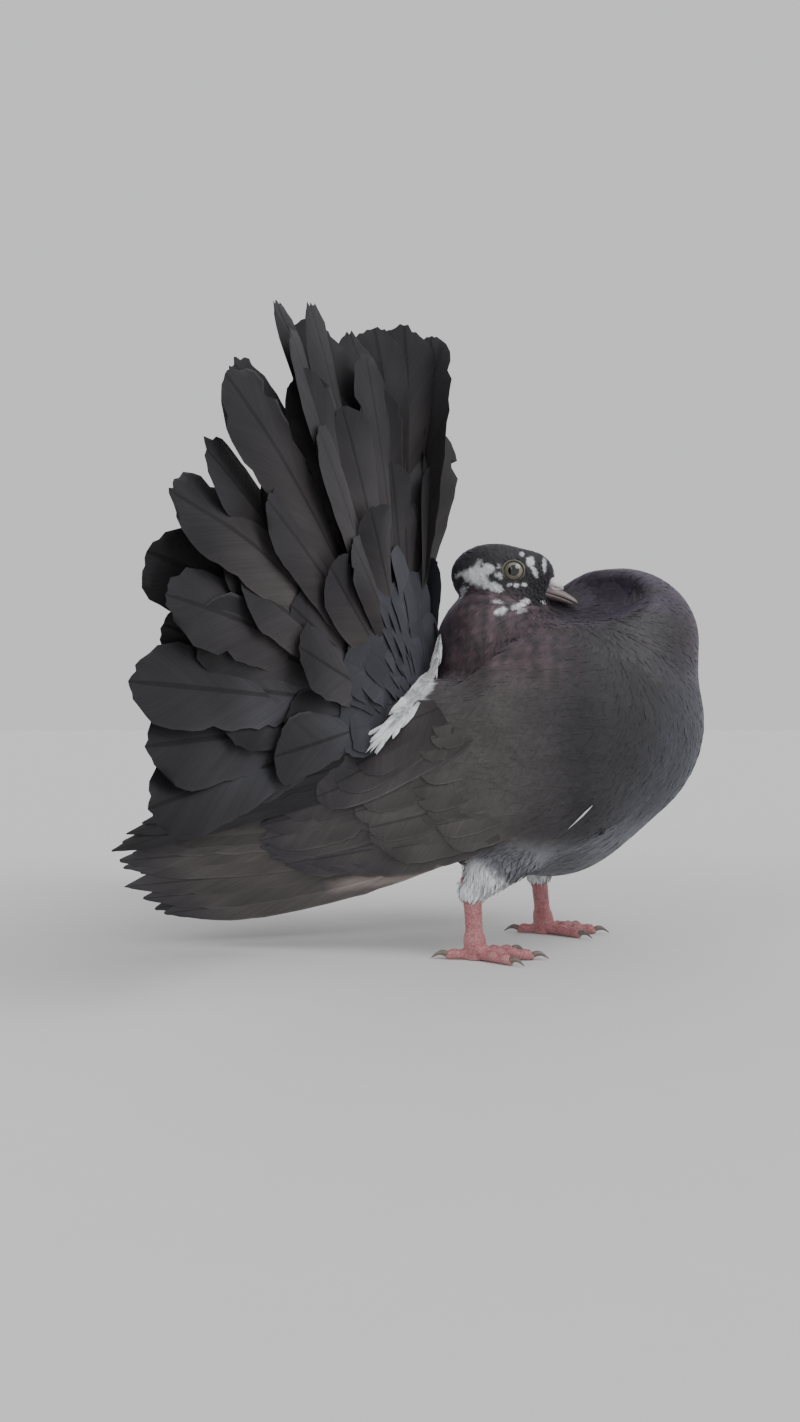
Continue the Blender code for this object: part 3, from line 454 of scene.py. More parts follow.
class Blades:
    """Collects blades of several sizes and makes one mesh of them."""

    def __init__(self):
        self.points, self.faces, self.tints, self.vanes, self.bakes, self.grains = [], [], [], [], [], []
        self.total = 0

    def add(self, grid, normals, thickness, tints, bakes, rng):
        """grid and normals (count, rows, columns, 3), tints the same, bakes (count, rows, columns, 2)."""
        count, rows, columns = grid.shape[:3]
        faces = blade_faces(rows, columns)
        points = blade_arrays(grid, normals, thickness)
        size = points.shape[1]
        starts = self.total + np.arange(count) * size
        self.faces.append((faces[None] + starts[:, None, None]).reshape(-1, 4))
        self.points.append(points.reshape(-1, 3))
        self.tints.append(blade_values(tints).reshape(-1, 3))
        across, along = np.meshgrid(np.linspace(0, 1, columns), np.linspace(0, 1, rows))
        vane = np.broadcast_to(np.stack((across, along), axis=-1), (count, rows, columns, 2))
        self.vanes.append(blade_values(np.array(vane)).reshape(-1, 2))
        self.bakes.append(blade_values(bakes).reshape(-1, 2))
        self.grains.append(np.repeat(rng.uniform(0, 1, count), size))
        self.total += count * size

    def add_one(self, grid, normals, thickness, tints, cell, rng):
        """One large feather, with its cell of the unwrap."""
        self.add(grid[None], normals[None], thickness, tints[None], cell[None], rng)

    def make(self, name, material):
        points = np.concatenate(self.points)
        faces = np.concatenate(self.faces)
        mesh = bpy.data.meshes.new(name)
        mesh.vertices.add(len(points))
        mesh.vertices.foreach_set("co", points.astype(np.float32).ravel())
        mesh.loops.add(faces.size)
        mesh.loops.foreach_set("vertex_index", faces.astype(np.int32).ravel())
        mesh.polygons.add(len(faces))
        mesh.polygons.foreach_set("loop_start", np.arange(len(faces), dtype=np.int32) * 4)
        mesh.update(calc_edges=True)
        flat = faces.ravel()
        for layer, values in (("Vane", self.vanes), ("OFBake", self.bakes)):
            uv = mesh.uv_layers.new(name=layer)
            uv.data.foreach_set("uv", np.concatenate(values)[flat].astype(np.float32).ravel())
        paint(mesh, np.concatenate(self.tints))
        grain = mesh.attributes.new("Grain", "FLOAT", "POINT")
        grain.data.foreach_set("value", np.concatenate(self.grains).astype(np.float32))
        mesh.shade_smooth()
        mesh.set_sharp_from_angle(angle=math.radians(70))
        mesh.materials.append(material)
        obj = bpy.data.objects.new(name, mesh)
        bpy.context.scene.collection.objects.link(obj)
        return obj


def paint(mesh, colours):
    """Writes the colours of the vertices to the attribute that the materials read."""
    values = np.ones((len(mesh.vertices), 4), np.float32)
    values[:, :3] = np.clip(colours, 0, 1)
    tint = mesh.attributes.new("Tint", "FLOAT_COLOR", "POINT")
    tint.data.foreach_set("color", values.ravel())


def finish_piece(obj, slot, *nodes):
    obj.data.transform(Matrix.Translation(OFFSET))
    obj.data.update()
    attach(obj, BODY)
    if nodes:
        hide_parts(*nodes)
    return obj


# Materials


def put(tree, kind, settings=None, inputs=None):
    made = tree.nodes.new(kind)
    for key, value in (settings or {}).items():
        setattr(made, key, value)
    for key, value in (inputs or {}).items():
        if isinstance(value, bpy.types.NodeSocket):
            tree.links.new(value, made.inputs[key])
        else:
            made.inputs[key].default_value = value
    return made


def calc(tree, operation, *values, clamp=False):
    made = put(tree, "ShaderNodeMath", {"operation": operation, "use_clamp": clamp}, dict(enumerate(values)))
    return made.outputs[0]


def ranged(tree, value, low, high, to_low=0.0, to_high=1.0):
    made = put(
        tree,
        "ShaderNodeMapRange",
        {"interpolation_type": "SMOOTHSTEP"},
        {"Value": value, "From Min": low, "From Max": high, "To Min": to_low, "To Max": to_high},
    )
    return made.outputs["Result"]


def mix_colours(tree, share, first, second, blend="MIX"):
    made = put(tree, "ShaderNodeMix", {"data_type": "RGBA", "blend_type": blend})
    for index, value in ((0, share), (6, first), (7, second)):
        if isinstance(value, bpy.types.NodeSocket):
            tree.links.new(value, made.inputs[index])
        else:
            made.inputs[index].default_value = value
    return made.outputs[2]


def new_material(name, **shader_values):
    made = bpy.data.materials.new(name)
    made.use_nodes = True
    shader = made.node_tree.nodes["Principled BSDF"]
    for key, value in shader_values.items():
        shader.inputs[key.replace("_", " ").title().replace("Ior", "IOR")].default_value = value
    return made, made.node_tree, shader


def own_place(tree):
    return put(tree, "ShaderNodeTexCoord").outputs["Object"]


def own_tint(tree):
    return put(tree, "ShaderNodeAttribute", {"attribute_name": "Tint"}).outputs["Color"]


def noise(tree, where, scale, detail):
    settings = {"Vector": where, "Scale": scale, "Detail": detail}
    return put(tree, "ShaderNodeTexNoise", None, settings).outputs["Fac"]


def shade(tree, shader, colour, level):
    """Gives the shader a colour, made lighter or darker by a level."""
    grey = put(tree, "ShaderNodeCombineColor", None, {0: level, 1: level, 2: level}).outputs[0]
    tree.links.new(mix_colours(tree, 1.0, colour, grey, "MULTIPLY"), shader.inputs["Base Color"])


def roughen(tree, shader, strength, depth, height):
    """Lets a pattern stand out from the surface."""
    bump = put(tree, "ShaderNodeBump", None, {"Strength": strength, "Distance": depth, "Height": height})
    tree.links.new(bump.outputs[0], shader.inputs["Normal"])


def feather_material(
    name, roughness, sheen, sheen_tint, barbs, relief, shaft, dust, gloss, metal=0.0, rim=0.0
):
    """Vanes with barbs that slant from the shaft. Dust lightens the edges, and rim one edge of some vanes."""
    made, tree, shader = new_material(
        name,
        roughness=roughness,
        sheen_weight=sheen,
        sheen_roughness=0.42,
        sheen_tint=(*sheen_tint, 1.0),
        metallic=metal,
        specular_ior_level=gloss,
    )
    grain = put(tree, "ShaderNodeAttribute", {"attribute_name": "Grain"}).outputs["Fac"]
    place = put(tree, "ShaderNodeUVMap", {"uv_map": "Vane"}).outputs["UV"]
    parts = put(tree, "ShaderNodeSeparateXYZ", None, {0: place}).outputs
    side = calc(tree, "ABSOLUTE", calc(tree, "MULTIPLY_ADD", parts[0], 2.0, -1.0))
    slant = calc(tree, "SUBTRACT", parts[1], calc(tree, "MULTIPLY", side, 0.16))
    where = put(
        tree,
        "ShaderNodeCombineXYZ",
        None,
        {0: calc(tree, "MULTIPLY", slant, barbs), 1: side, 2: calc(tree, "MULTIPLY", grain, 83.0)},
    ).outputs[0]
    fine = noise(tree, where, 1.0, 3.0)
    wide = noise(tree, where, 0.12, 2.0)
    quill = ranged(tree, side, 0.035, 0.085, 1.0, 0.0)
    level = calc(tree, "MULTIPLY_ADD", fine, 0.55, 0.60)
    level = calc(tree, "MULTIPLY", level, calc(tree, "MULTIPLY_ADD", wide, 0.5, 0.78))
    level = calc(tree, "MULTIPLY", level, calc(tree, "MULTIPLY_ADD", quill, -shaft, 1.0))
    edge = ranged(tree, side, 0.86, 1.0, 0.0, dust)
    level = calc(tree, "ADD", level, edge)
    if rim:
        some = ranged(tree, grain, 0.35, 0.75)
        one_edge = ranged(tree, parts[0], 0.945, 0.985, 0.0, rim)
        level = calc(tree, "MULTIPLY_ADD", one_edge, calc(tree, "MULTIPLY", some, fine), level)
    shade(tree, shader, own_tint(tree), level)
    ridge = calc(tree, "MULTIPLY_ADD", quill, 1.2, calc(tree, "MULTIPLY", fine, 0.8))
    roughen(tree, shader, relief, 0.0004, ridge)
    return made


def skin_material():
    made, tree, shader = new_material("under_down", roughness=0.9, sheen_weight=0.3)
    down = noise(tree, own_place(tree), 900.0, 4.0)
    shade(tree, shader, own_tint(tree), calc(tree, "MULTIPLY_ADD", down, 0.7, 0.35))
    roughen(tree, shader, 0.5, 0.0005, down)
    return made


def coat_material(kind):
    """The feather finishes, each made once."""
    known = bpy.data.materials.get(kind)
    if known:
        return known
    recipes = {
        "contour_feathers": dict(roughness=0.62, sheen=0.22, sheen_tint=(0.62, 0.66, 0.80), barbs=26.0,
                                 relief=0.30, shaft=0.06, dust=0.10, gloss=0.35),
        "hackle_feathers": dict(roughness=0.48, sheen=0.22, sheen_tint=(0.75, 0.60, 0.85), barbs=22.0,
                                relief=0.35, shaft=0.10, dust=0.20, gloss=0.5, metal=0.20),
        "downy_feathers": dict(roughness=0.80, sheen=0.30, sheen_tint=(0.85, 0.86, 0.92), barbs=18.0,
                               relief=0.3, shaft=0.0, dust=0.05, gloss=0.3),
        "flight_feathers": dict(roughness=0.54, sheen=0.08, sheen_tint=(0.70, 0.68, 0.72), barbs=150.0,
                                relief=0.30, shaft=0.45, dust=0.12, gloss=0.22, rim=2.2),
        "wing_feathers": dict(roughness=0.56, sheen=0.12, sheen_tint=(0.72, 0.66, 0.66), barbs=150.0,
                              relief=0.30, shaft=0.35, dust=0.15, gloss=0.26, rim=0.5),
    }
    return feather_material(kind, **recipes[kind])


# Laying feathers over the skin


def root_pool():
    """Many random places on the skin: place and place on the skin's unwrap."""
    mesh = bird["skin_mesh"]
    mesh.calc_loop_triangles()
    count = len(mesh.loop_triangles)
    corners = np.empty(count * 3, np.int32)
    loops = np.empty(count * 3, np.int32)
    mesh.loop_triangles.foreach_get("vertices", corners)
    mesh.loop_triangles.foreach_get("loops", loops)
    points = np.empty(len(mesh.vertices) * 3, np.float32)
    mesh.vertices.foreach_get("co", points)
    points = points.reshape(-1, 3)[corners].reshape(-1, 3, 3).astype(float)
    layer = mesh.uv_layers["OFBake"]
    flat = np.empty(len(mesh.loops) * 2, np.float32)
    layer.data.foreach_get("uv", flat)
    places = flat.reshape(-1, 2)[loops].reshape(-1, 3, 2).astype(float)
    areas = np.linalg.norm(np.cross(points[:, 1] - points[:, 0], points[:, 2] - points[:, 0]), axis=1)
    rng = np.random.default_rng(61)
    chosen = rng.choice(count, size=ROOT_POOL_SIZE, p=areas / areas.sum())
    a, b = rng.uniform(0, 1, (2, len(chosen), 1))
    over = a + b > 1
    a, b = np.where(over, 1 - a, a), np.where(over, 1 - b, b)

    def blend_corners(values):
        first, second, third = values[chosen, 0], values[chosen, 1], values[chosen, 2]
        return first + (second - first) * a + (third - first) * b

    return blend_corners(points), blend_corners(places)


def thinned(points, spacing):
    """Which of the points to keep so that no two are nearer than their spacing."""
    cell = float(np.max(spacing))
    cells = np.floor(points / cell).astype(int)
    spacing = np.broadcast_to(spacing, len(points))
    near = [(i, j, k) for i in (-1, 0, 1) for j in (-1, 0, 1) for k in (-1, 0, 1)]
    grid, kept = {}, []
    for index, (x, y, z) in enumerate(cells.tolist()):
        px, py, pz = points[index]
        limit = spacing[index] ** 2
        clear = True
        for i, j, k in near:
            for qx, qy, qz in grid.get((x + i, y + j, z + k), ()):
                if (px - qx) ** 2 + (py - qy) ** 2 + (pz - qz) ** 2 < limit:
                    clear = False
                    break
            if not clear:
                break
        if clear:
            grid.setdefault((x, y, z), []).append((px, py, pz))
            kept.append(index)
    return np.array(kept, int)


def coat_lie(points, normals):
    """The way that the feathers point: off the bill over the head, then down and back over the body."""
    bill = np.array(head_point((0.0200, 0.0, -0.0040)))
    crown = np.array((0.020, -0.002, 0.140))
    head = head_share(points)[..., None]
    x, z = points[..., 0], points[..., 2]
    back = 1.25 * np.clip((0.108 - z) / 0.055, 0, 1.2) + 0.9 * np.clip(-x / 0.030, 0, 1)
    body = unit(points - crown) + back[..., None] * np.array((-1.0, 0.0, 0.10))
    wing = smooth(-0.0060, 0.0040, body_distance(points) - wing_distance(points))
    wing = (wing * smooth(0.070, 0.030, x))[..., None]
    body = unit(body) * (1 - wing) + np.array((-0.90, 0.0, -0.42)) * wing
    for name in SIDES:
        near = smooth(0.006, -0.002, thigh_distance(points, name)) * smooth(0.046, 0.034, z)
        down = np.array((-0.25, 0.0, -1.0))
        body = body * (1 - near[..., None]) + down * near[..., None]
    way = unit(points - bill) * head + unit(body) * (1 - head)
    way = way - normals * (way * normals).sum(axis=-1, keepdims=True)
    return unit(way)


def lay_coat(blades, roots, bakes, length, width, rows, columns, lift, shape, rng, thick=0.00012, cup=0.00025,
             stray=6.0, loose=0.07, tone=0.09, settle_tip=0.22):
    """Lays one feather on each root. lift holds the heights at root and tip, shape its widths along it."""
    count = len(roots)
    shares = np.linspace(0, 1, rows)
    widths = np.interp(shares, np.linspace(0, 1, len(shape)), shape)
    centre, normal = settle(roots, 0.0)
    way = coat_lie(centre, normal)
    turn = np.radians(rng.normal(0, stray, count))[:, None]
    across = np.cross(normal, way)
    way = way * np.cos(turn) + across * np.sin(turn)
    lines, ways, outs = [centre], [way], [normal]
    for _ in range(rows - 1):
        step = (length / (rows - 1))[:, None]
        centre, normal = settle(centre + way * step, 0.0, 2)
        lie = coat_lie(centre, normal)
        side = np.cross(normal, lie)
        lie = lie * np.cos(turn) + side * np.sin(turn)
        way = unit(way * 0.4 + lie * 0.6)
        lines.append(centre)
        ways.append(way)
        outs.append(normal)
    line, ways, outs = (np.stack(v, axis=1) for v in (lines, ways, outs))
    sides = np.cross(outs, ways)
    u = np.linspace(-1, 1, columns)
    half = (width[:, None] * widths[None, :] / 2)[..., None, None]
    fray = np.clip(rng.normal(0, 1, (count, rows, columns)), -1.2, 1.2)
    fray = fray * np.where(shares > 0.75, 0.035, 0.012)[None, :, None]
    pull = -0.14 * u[None, None, :] ** 2 * shares[None, :, None] ** 2 + fray
    grid = line[:, :, None, :] + sides[:, :, None, :] * half * u[None, None, :, None]
    grid = grid + ways[:, :, None, :] * (pull * length[:, None, None])[..., None]
    spring = rng.normal(0, loose, (count, 1, 1)) * (lift[1] - lift[0])
    tilt = rng.normal(0, 0.022, (count, 1, 1)) * width[:, None, None]
    tilt = tilt * u[None, None, :] * shares[None, :, None]
    height = lift[0] + (lift[1] - lift[0] + spring) * shares[None, :, None] ** 1.15 + tilt
    height = height - settle_tip * lift[1] * smooth(0.72, 1.0, shares)[None, :, None]
    height = height - cup * u[None, None, :] ** 2 * (0.4 + 0.6 * shares[None, :, None])
    flat, _ = settle(grid.reshape(-1, 3), np.maximum(height, -0.0003).reshape(-1), 2)
    grid = flat.reshape(grid.shape)
    normals = unit(np.cross(np.gradient(grid, axis=1), np.gradient(grid, axis=2)))
    tints = plumage_colour(grid.reshape(-1, 3)).reshape(grid.shape)
    tints = tints * (1 + tone * rng.uniform(-1, 1, (count, 1, 1, 1)))
    blades.add(grid, normals, thick, tints, root_patches(bakes, rows, columns), rng)


def root_patches(places, rows, columns, size=0.003):
    """A small square at each root's place on the unwrap."""
    across, along = np.meshgrid(np.linspace(-0.5, 0.5, columns), np.linspace(-0.5, 0.5, rows))
    return places[:, None, None, :] + np.stack((across, along), axis=-1)[None] * size


def clear_of_face(points):
    """True where small feathers may grow: off the eyes, the bill and the cere."""
    local = in_head(points)
    clear = np.ones(len(points), bool)
    for side in (1, -1):
        eye = np.array(eye_axis(side) * EYE_FRONT)
        clear &= np.linalg.norm(local - eye, axis=1) > 0.0050
    bill = np.array((0.0192, 0.0, -0.0040))
    reach = (local - bill) / np.array((0.0056, 0.0050, 0.0046))
    clear &= np.linalg.norm(reach, axis=1) > 1.0
    return clear


def eye_room(roots, ways, length):
    """Shortens the feathers that would reach over the eyes' rings."""
    for side in (1, -1):
        eye = np.array(head_point(eye_axis(side) * EYE_FRONT))
        for share in (1.0, 0.75, 0.5):
            away = np.linalg.norm(roots + ways * (length * share)[:, None] - eye, axis=1)
            length = np.where(away < 0.0049, length * 0.62, length)
    return length


def coat_regions(points):
    """The name of each root's part of the coat."""
    x, y, z = points[:, 0], points[:, 1], points[:, 2]
    right = y < 0
    names = np.where(right, "breast_right", "breast_left").astype("<U14")
    names[(z > 0.110) & (x > -0.030)] = "neck"
    names[(x < 0.004) & (z <= 0.110)] = "back"
    wing = wing_share(points) > 0.5
    names[wing] = np.where(right, "shoulder_right", "shoulder_left")[wing]
    names[(z < 0.048) & (x > -0.020) & ~wing] = "belly"
    for name in SIDES:
        names[(thigh_distance(points, name) < -0.0005) & (z < 0.044)] = "thigh"
    names[head_share(points) > 0.5] = "head"
    return names


class PigeonColours(bpy.types.PropertyGroup):
    soot: bpy.props.FloatVectorProperty(
        name="Soot", description="Main colour of the plumage", subtype="COLOR", default=(0.031, 0.029, 0.032)
    )
    slate: bpy.props.FloatVectorProperty(
        name="Slate",
        description="Bluish grey of the breast",
        subtype="COLOR",
        default=(0.060, 0.063, 0.075),
    )
    bronze: bpy.props.FloatVectorProperty(
        name="Bronze",
        description="Sheen on the side of the neck",
        subtype="COLOR",
        default=(0.170, 0.110, 0.124),
    )
    violet: bpy.props.FloatVectorProperty(
        name="Violet",
        description="Sheen on the front of the neck",
        subtype="COLOR",
        default=(0.062, 0.046, 0.082),
    )
    ash: bpy.props.FloatVectorProperty(
        name="Ash",
        description="Light grey of the belly and thighs",
        subtype="COLOR",
        default=(0.150, 0.155, 0.172),
    )
    dust: bpy.props.FloatVectorProperty(
        name="Dust",
        description="Brownish grey of the worn flight feathers",
        subtype="COLOR",
        default=(0.092, 0.082, 0.081),
    )
    snow: bpy.props.FloatVectorProperty(
        name="Snow", description="White feathers", subtype="COLOR", default=(0.80, 0.82, 0.83)
    )


class PigeonCoat(bpy.types.PropertyGroup):
    voxel: bpy.props.FloatProperty(
        name="Skin detail",
        description="Size of the skin's faces",
        subtype="DISTANCE",
        unit="LENGTH",
        default=0.0018,
    )
    face_spacing: bpy.props.FloatProperty(
        name="Face spacing",
        description="Distance between feathers by the bill",
        subtype="DISTANCE",
        unit="LENGTH",
        default=0.00072,
    )
    crown_spacing: bpy.props.FloatProperty(
        name="Crown spacing",
        description="Distance between feathers on the back of the head",
        subtype="DISTANCE",
        unit="LENGTH",
        default=0.00125,
    )
    neck_spacing: bpy.props.FloatProperty(
        name="Neck spacing",
        description="Distance between feathers on the neck",
        subtype="DISTANCE",
        unit="LENGTH",
        default=0.00115,
    )
    breast_spacing: bpy.props.FloatProperty(
        name="Breast spacing",
        description="Distance between feathers on breast, shoulders, back and belly",
        subtype="DISTANCE",
        unit="LENGTH",
        default=0.00125,
    )
    down_spacing: bpy.props.FloatProperty(
        name="Down spacing",
        description="Distance between soft feathers on the thighs",
        subtype="DISTANCE",
        unit="LENGTH",
        default=0.00085,
    )


class PIGEON_OT_skin(bpy.types.Operator):
    """Makes the one skin under the whole coat from copies of the flesh solids"""

    bl_idname = "pigeon.skin"
    bl_label = "Skin"

    def execute(self, context):
        coat = context.scene.pigeon_coat
        bpy.ops.object.select_all(action="DESELECT")
        copies = []
        for node in FLESH_NODES + EYE_NODES:
            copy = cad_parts[node].copy()
            copy.data = copy.data.copy()
            copy.parent = None
            copy.data.materials.clear()
            for key in list(copy.keys()):
                del copy[key]
            context.scene.collection.objects.link(copy)
            shape = bmesh.new()
            shape.from_mesh(copy.data)
            bmesh.ops.remove_doubles(shape, verts=shape.verts, dist=1e-6)
            shape.to_mesh(copy.data)
            shape.free()
            copies.append(copy)
        for name, side in SIDES.items():
            arm = wing_arm("arm_" + name, side)
            arm.data.transform(Matrix.Translation(OFFSET))
            copies.append(arm)
        for side in SIDES.values():
            (x, y, z), radii = MANTLE
            middle = OFFSET + Vector((x, side * y, z))
            bpy.ops.mesh.primitive_uv_sphere_add(segments=32, ring_count=20, location=middle)
            mass = context.view_layer.objects.active
            mass.scale = radii
            bpy.ops.object.transform_apply(location=True, scale=True)
            copies.append(mass)
        bpy.ops.object.select_all(action="DESELECT")
        for copy in copies:
            copy.select_set(True)
        context.view_layer.objects.active = copies[0]
        bpy.ops.object.join()
        skin = context.view_layer.objects.active
        skin.name = skin.data.name = "skin"
        remesh = skin.modifiers.new("even", "REMESH")
        remesh.mode = "VOXEL"
        remesh.voxel_size = coat.voxel
        bpy.ops.object.modifier_apply(modifier=remesh.name)
        relax = skin.modifiers.new("relax", "SMOOTH")
        relax.factor = 0.6
        relax.iterations = 6
        bpy.ops.object.modifier_apply(modifier=relax.name)
        skin.data.transform(Matrix.Translation(-OFFSET))
        mesh = skin.data
        points = np.empty(len(mesh.vertices) * 3, np.float32)
        mesh.vertices.foreach_get("co", points)
        points, _ = settle(points.reshape(-1, 3).astype(float), 0.0, 5)
        mesh.vertices.foreach_set("co", points.astype(np.float32).ravel())
        mesh.update()
        mesh.shade_smooth()
        uv = mesh.uv_layers.new(name="OFBake")
        uv.active = True
        bpy.ops.object.mode_set(mode="EDIT")
        bpy.ops.mesh.select_all(action="SELECT")
        bpy.ops.uv.smart_project(angle_limit=math.radians(60), island_margin=0.008)
        bpy.ops.object.mode_set(mode="OBJECT")
        paint(mesh, plumage_colour(points))
        mesh.materials.append(skin_material())
        bird["skin_mesh"] = mesh.copy()
        roots, bakes = root_pool()
        bird.update(roots=roots, bakes=bakes, regions=coat_regions(roots))
        finish_piece(skin, "plumage", *FLESH_NODES)
        return {"FINISHED"}


def region_roots(name, spacing):
    """Evenly spread roots in one part of the coat. The spacing may be a function of the places."""
    chosen = bird["regions"] == name
    points, bakes = bird["roots"][chosen], bird["bakes"][chosen]
    if name == "head":
        clear = clear_of_face(points)
        points, bakes = points[clear], bakes[clear]
    gaps = spacing(points) if callable(spacing) else np.full(len(points), spacing)
    kept = thinned(points, gaps)
    return points[kept], bakes[kept]


class PIGEON_OT_head_coat(bpy.types.Operator):
    """Lays the small feathers of the head"""

    bl_idname = "pigeon.head_coat"
    bl_label = "Head feathers"

    def execute(self, context):
        coat = context.scene.pigeon_coat
        rng = np.random.default_rng(71)

        def backness(points):
            return smooth(0.016, -0.018, in_head(points)[:, 0])

        roots, bakes = region_roots(
            "head", lambda p: coat.face_spacing + (coat.crown_spacing - coat.face_spacing) * backness(p)
        )
        share = backness(roots)
        length = (0.0017 + 0.0042 * share) * rng.uniform(0.85, 1.2, len(roots))
        width = (0.0013 + 0.0023 * share) * rng.uniform(0.85, 1.15, len(roots))
        centre, normal = settle(roots, 0.0)
        length = eye_room(centre, coat_lie(centre, normal), length)
        blades = Blades()
        lay_coat(
            blades, roots, bakes, length, width, rows=6, columns=3, lift=(0.00010, 0.00070),
            shape=(0.5, 0.95, 1.0, 0.55), rng=rng, thick=0.00008, cup=0.00006, stray=9.0
        )
        finish_piece(blades.make("head_coat", coat_material("contour_feathers")), "plumage", "head")
        return {"FINISHED"}


class PIGEON_OT_body_coat(bpy.types.Operator):
    """Lays the feathers of neck, breast, shoulders, back, belly and thighs"""

    bl_idname = "pigeon.body_coat"
    bl_label = "Body feathers"

    def execute(self, context):
        coat = context.scene.pigeon_coat
        rng = np.random.default_rng(72)
        contour = dict(length=0.0092, width=0.0030, rows=5, columns=3, lift=(0.0002, 0.00065),
                       shape=(0.55, 1.0, 0.95, 0.35), cup=0.00004, thick=0.00006, stray=6.5)
        plans = (
            # part, spacing, material, slot, nodes, how its feathers differ from the contour feathers
            ("neck", coat.neck_spacing, "hackle_feathers", "neck_plumage", ("neck",),
             dict(length=0.0080, width=0.0024, tone=0.20)),
            ("breast_right", coat.breast_spacing, "contour_feathers", "plumage", ("torso",), {}),
            ("breast_left", coat.breast_spacing, "contour_feathers", "plumage", ("torso",), {}),
            ("shoulder_right", coat.breast_spacing, "contour_feathers", "plumage", ("wing_right",), {}),
            ("shoulder_left", coat.breast_spacing, "contour_feathers", "plumage", ("wing_left",), {}),
            ("back", coat.breast_spacing, "contour_feathers", "plumage", ("torso", "tail_base"), {}),
            ("belly", coat.breast_spacing, "downy_feathers", "plumage", ("torso",),
             dict(length=0.0090, width=0.0017, shape=(0.5, 1.0, 0.8, 0.25), tone=0.12, stray=10.0)),
            ("thigh", coat.down_spacing, "downy_feathers", "plumage", ("thigh_left", "thigh_right"),
             dict(length=0.0062, width=0.0011, shape=(0.6, 1.0, 0.7, 0.12), lift=(0.0001, 0.0013), tone=0.10,
                  stray=15.0, loose=0.30, settle_tip=0.0)),
        )
        for name, spacing, finish, slot, nodes, changes in plans:
            roots, bakes = region_roots(name, spacing)
            plan = {**contour, **changes}
            uneven = 0.35 if name == "thigh" else 0.15
            lengths = plan.pop("length") * rng.uniform(1 - uneven, 1 + uneven, len(roots))
            if name == "neck":
                lengths = lengths * (0.72 + 0.28 * smooth(0.150, 0.125, roots[:, 2]))
            widths = plan.pop("width") * rng.uniform(0.88, 1.12, len(roots))
            blades = Blades()
            lay_coat(blades, roots, bakes, lengths, widths, rng=rng, **plan)
            finish_piece(blades.make(name + "_coat", coat_material(finish)), slot, *nodes)
        return {"FINISHED"}


# Tail


def fan_way(bearing, lean_more=0.0):
    share = np.minimum(np.abs(bearing) / (math.pi / 2), 1.0)
    lean = FAN_LEAN_TOP + (FAN_LEAN_SIDE - FAN_LEAN_TOP) * share**FAN_LEAN_BEND + lean_more
    flat = np.cos(lean)
    return np.stack((-np.sin(lean), np.sin(bearing) * flat, np.cos(bearing) * flat), axis=-1)


# Shares of a feather's length, and its widths there
TAIL_VANE = (
    (0.0, 0.15, 0.35, 0.55, 0.75, 0.88, 0.94, 0.98, 1.0),
    (0.18, 0.32, 0.60, 0.84, 0.98, 1.0, 0.96, 0.80, 0.50),
)
COVERT_VANE = ((0.0, 0.2, 0.5, 0.8, 0.92, 1.0), (0.40, 0.70, 0.95, 1.0, 0.92, 0.72))


def fan_blade(
    bearing, length, width, rise, rows, columns, rng, spacing, curl, twist, camber, splits, hook,
    lean=0.0, sway=0.0, root=0.012, shape=TAIL_VANE, shingle=0.0011
):
    """One tail feather: its upper grid, the normals, and the shares along and across it.

    rise is how far it lies before the fan's surface.
    """
    shares = np.concatenate((np.linspace(0, 0.9, rows - 4), (0.93, 0.96, 0.985, 1.0)))
    way = fan_way(bearing, lean)
    around = unit(fan_way(bearing + 0.01, lean) - fan_way(bearing - 0.01, lean))
    front = np.cross(around, way)
    front = front if front[0] > 0 else -front
    outward = 0.0 if abs(bearing) < 1e-6 else math.copysign(1, bearing)
    u = np.linspace(-1, 1, columns)
    reach = root + (length - root) * shares
    widths = np.interp(shares, *shape) * width / 2
    edges = np.ones((rows, columns))
    for _ in range(splits):
        place, depth = rng.uniform(0.40, 0.99), rng.uniform(0.10, 0.42)
        side = rng.choice((0, -1))
        notch = np.clip(1 - np.abs(shares - place) / 0.020, 0, 1)
        edges[:, side] -= depth * notch
    edges[:, (0, -1)] += rng.normal(0, 0.022, (rows, 2))
    pull = -0.022 * u[None, :] ** 2 * smooth(0.80, 1.0, shares)[:, None]
    pull = pull + rng.normal(0, 0.004, (rows, columns)) * smooth(0.9, 1.0, shares)[:, None]
    bend = curl * (reach / FAN_LENGTH_SIDE) ** 4 + hook * smooth(0.62, 1.05, shares) ** 2
    shorten = 0.30 * hook * smooth(0.62, 1.05, shares) ** 2
    angle = twist * smooth(0.25, 1.0, shares)
    side_way = around[None, :] * np.cos(angle)[:, None] + front[None, :] * np.sin(angle)[:, None]
    out_way = front[None, :] * np.cos(angle)[:, None] - around[None, :] * np.sin(angle)[:, None]
    tilt = shingle * widths / np.maximum(spacing * reach, 0.002) * outward
    middle = FAN_CENTRE + way * (reach - shorten)[:, None] + front * (rise - bend)[:, None]
    middle = middle + around * (sway * shares**2)[:, None]
    grid = middle[:, None, :] + side_way[:, None, :] * (widths[:, None] * u * edges)[..., None]
    grid = grid + way * (pull * length)[..., None]
    lift = tilt[:, None] * u - camber * (u**2) * np.sin(np.pi * np.clip(shares * 1.05, 0, 1))[:, None] ** 0.5
    grid = grid + out_way[:, None, :] * lift[..., None]
    return grid, np.broadcast_to(out_way[:, None, :], grid.shape).copy(), shares, u


def feather_cell(rows, columns, index, total):
    """One large feather's cell of its piece's unwrap, where the cells lie side by side in bands."""
    bands = max(1, round(math.sqrt(total / 6)))
    per_band = math.ceil(total / bands)
    across, along = np.meshgrid(np.linspace(0.08, 0.92, columns), np.linspace(0.04, 0.96, rows))
    band, place = divmod(index, per_band)
    return np.stack(((place + across) / per_band, (band + along) / bands), axis=-1)


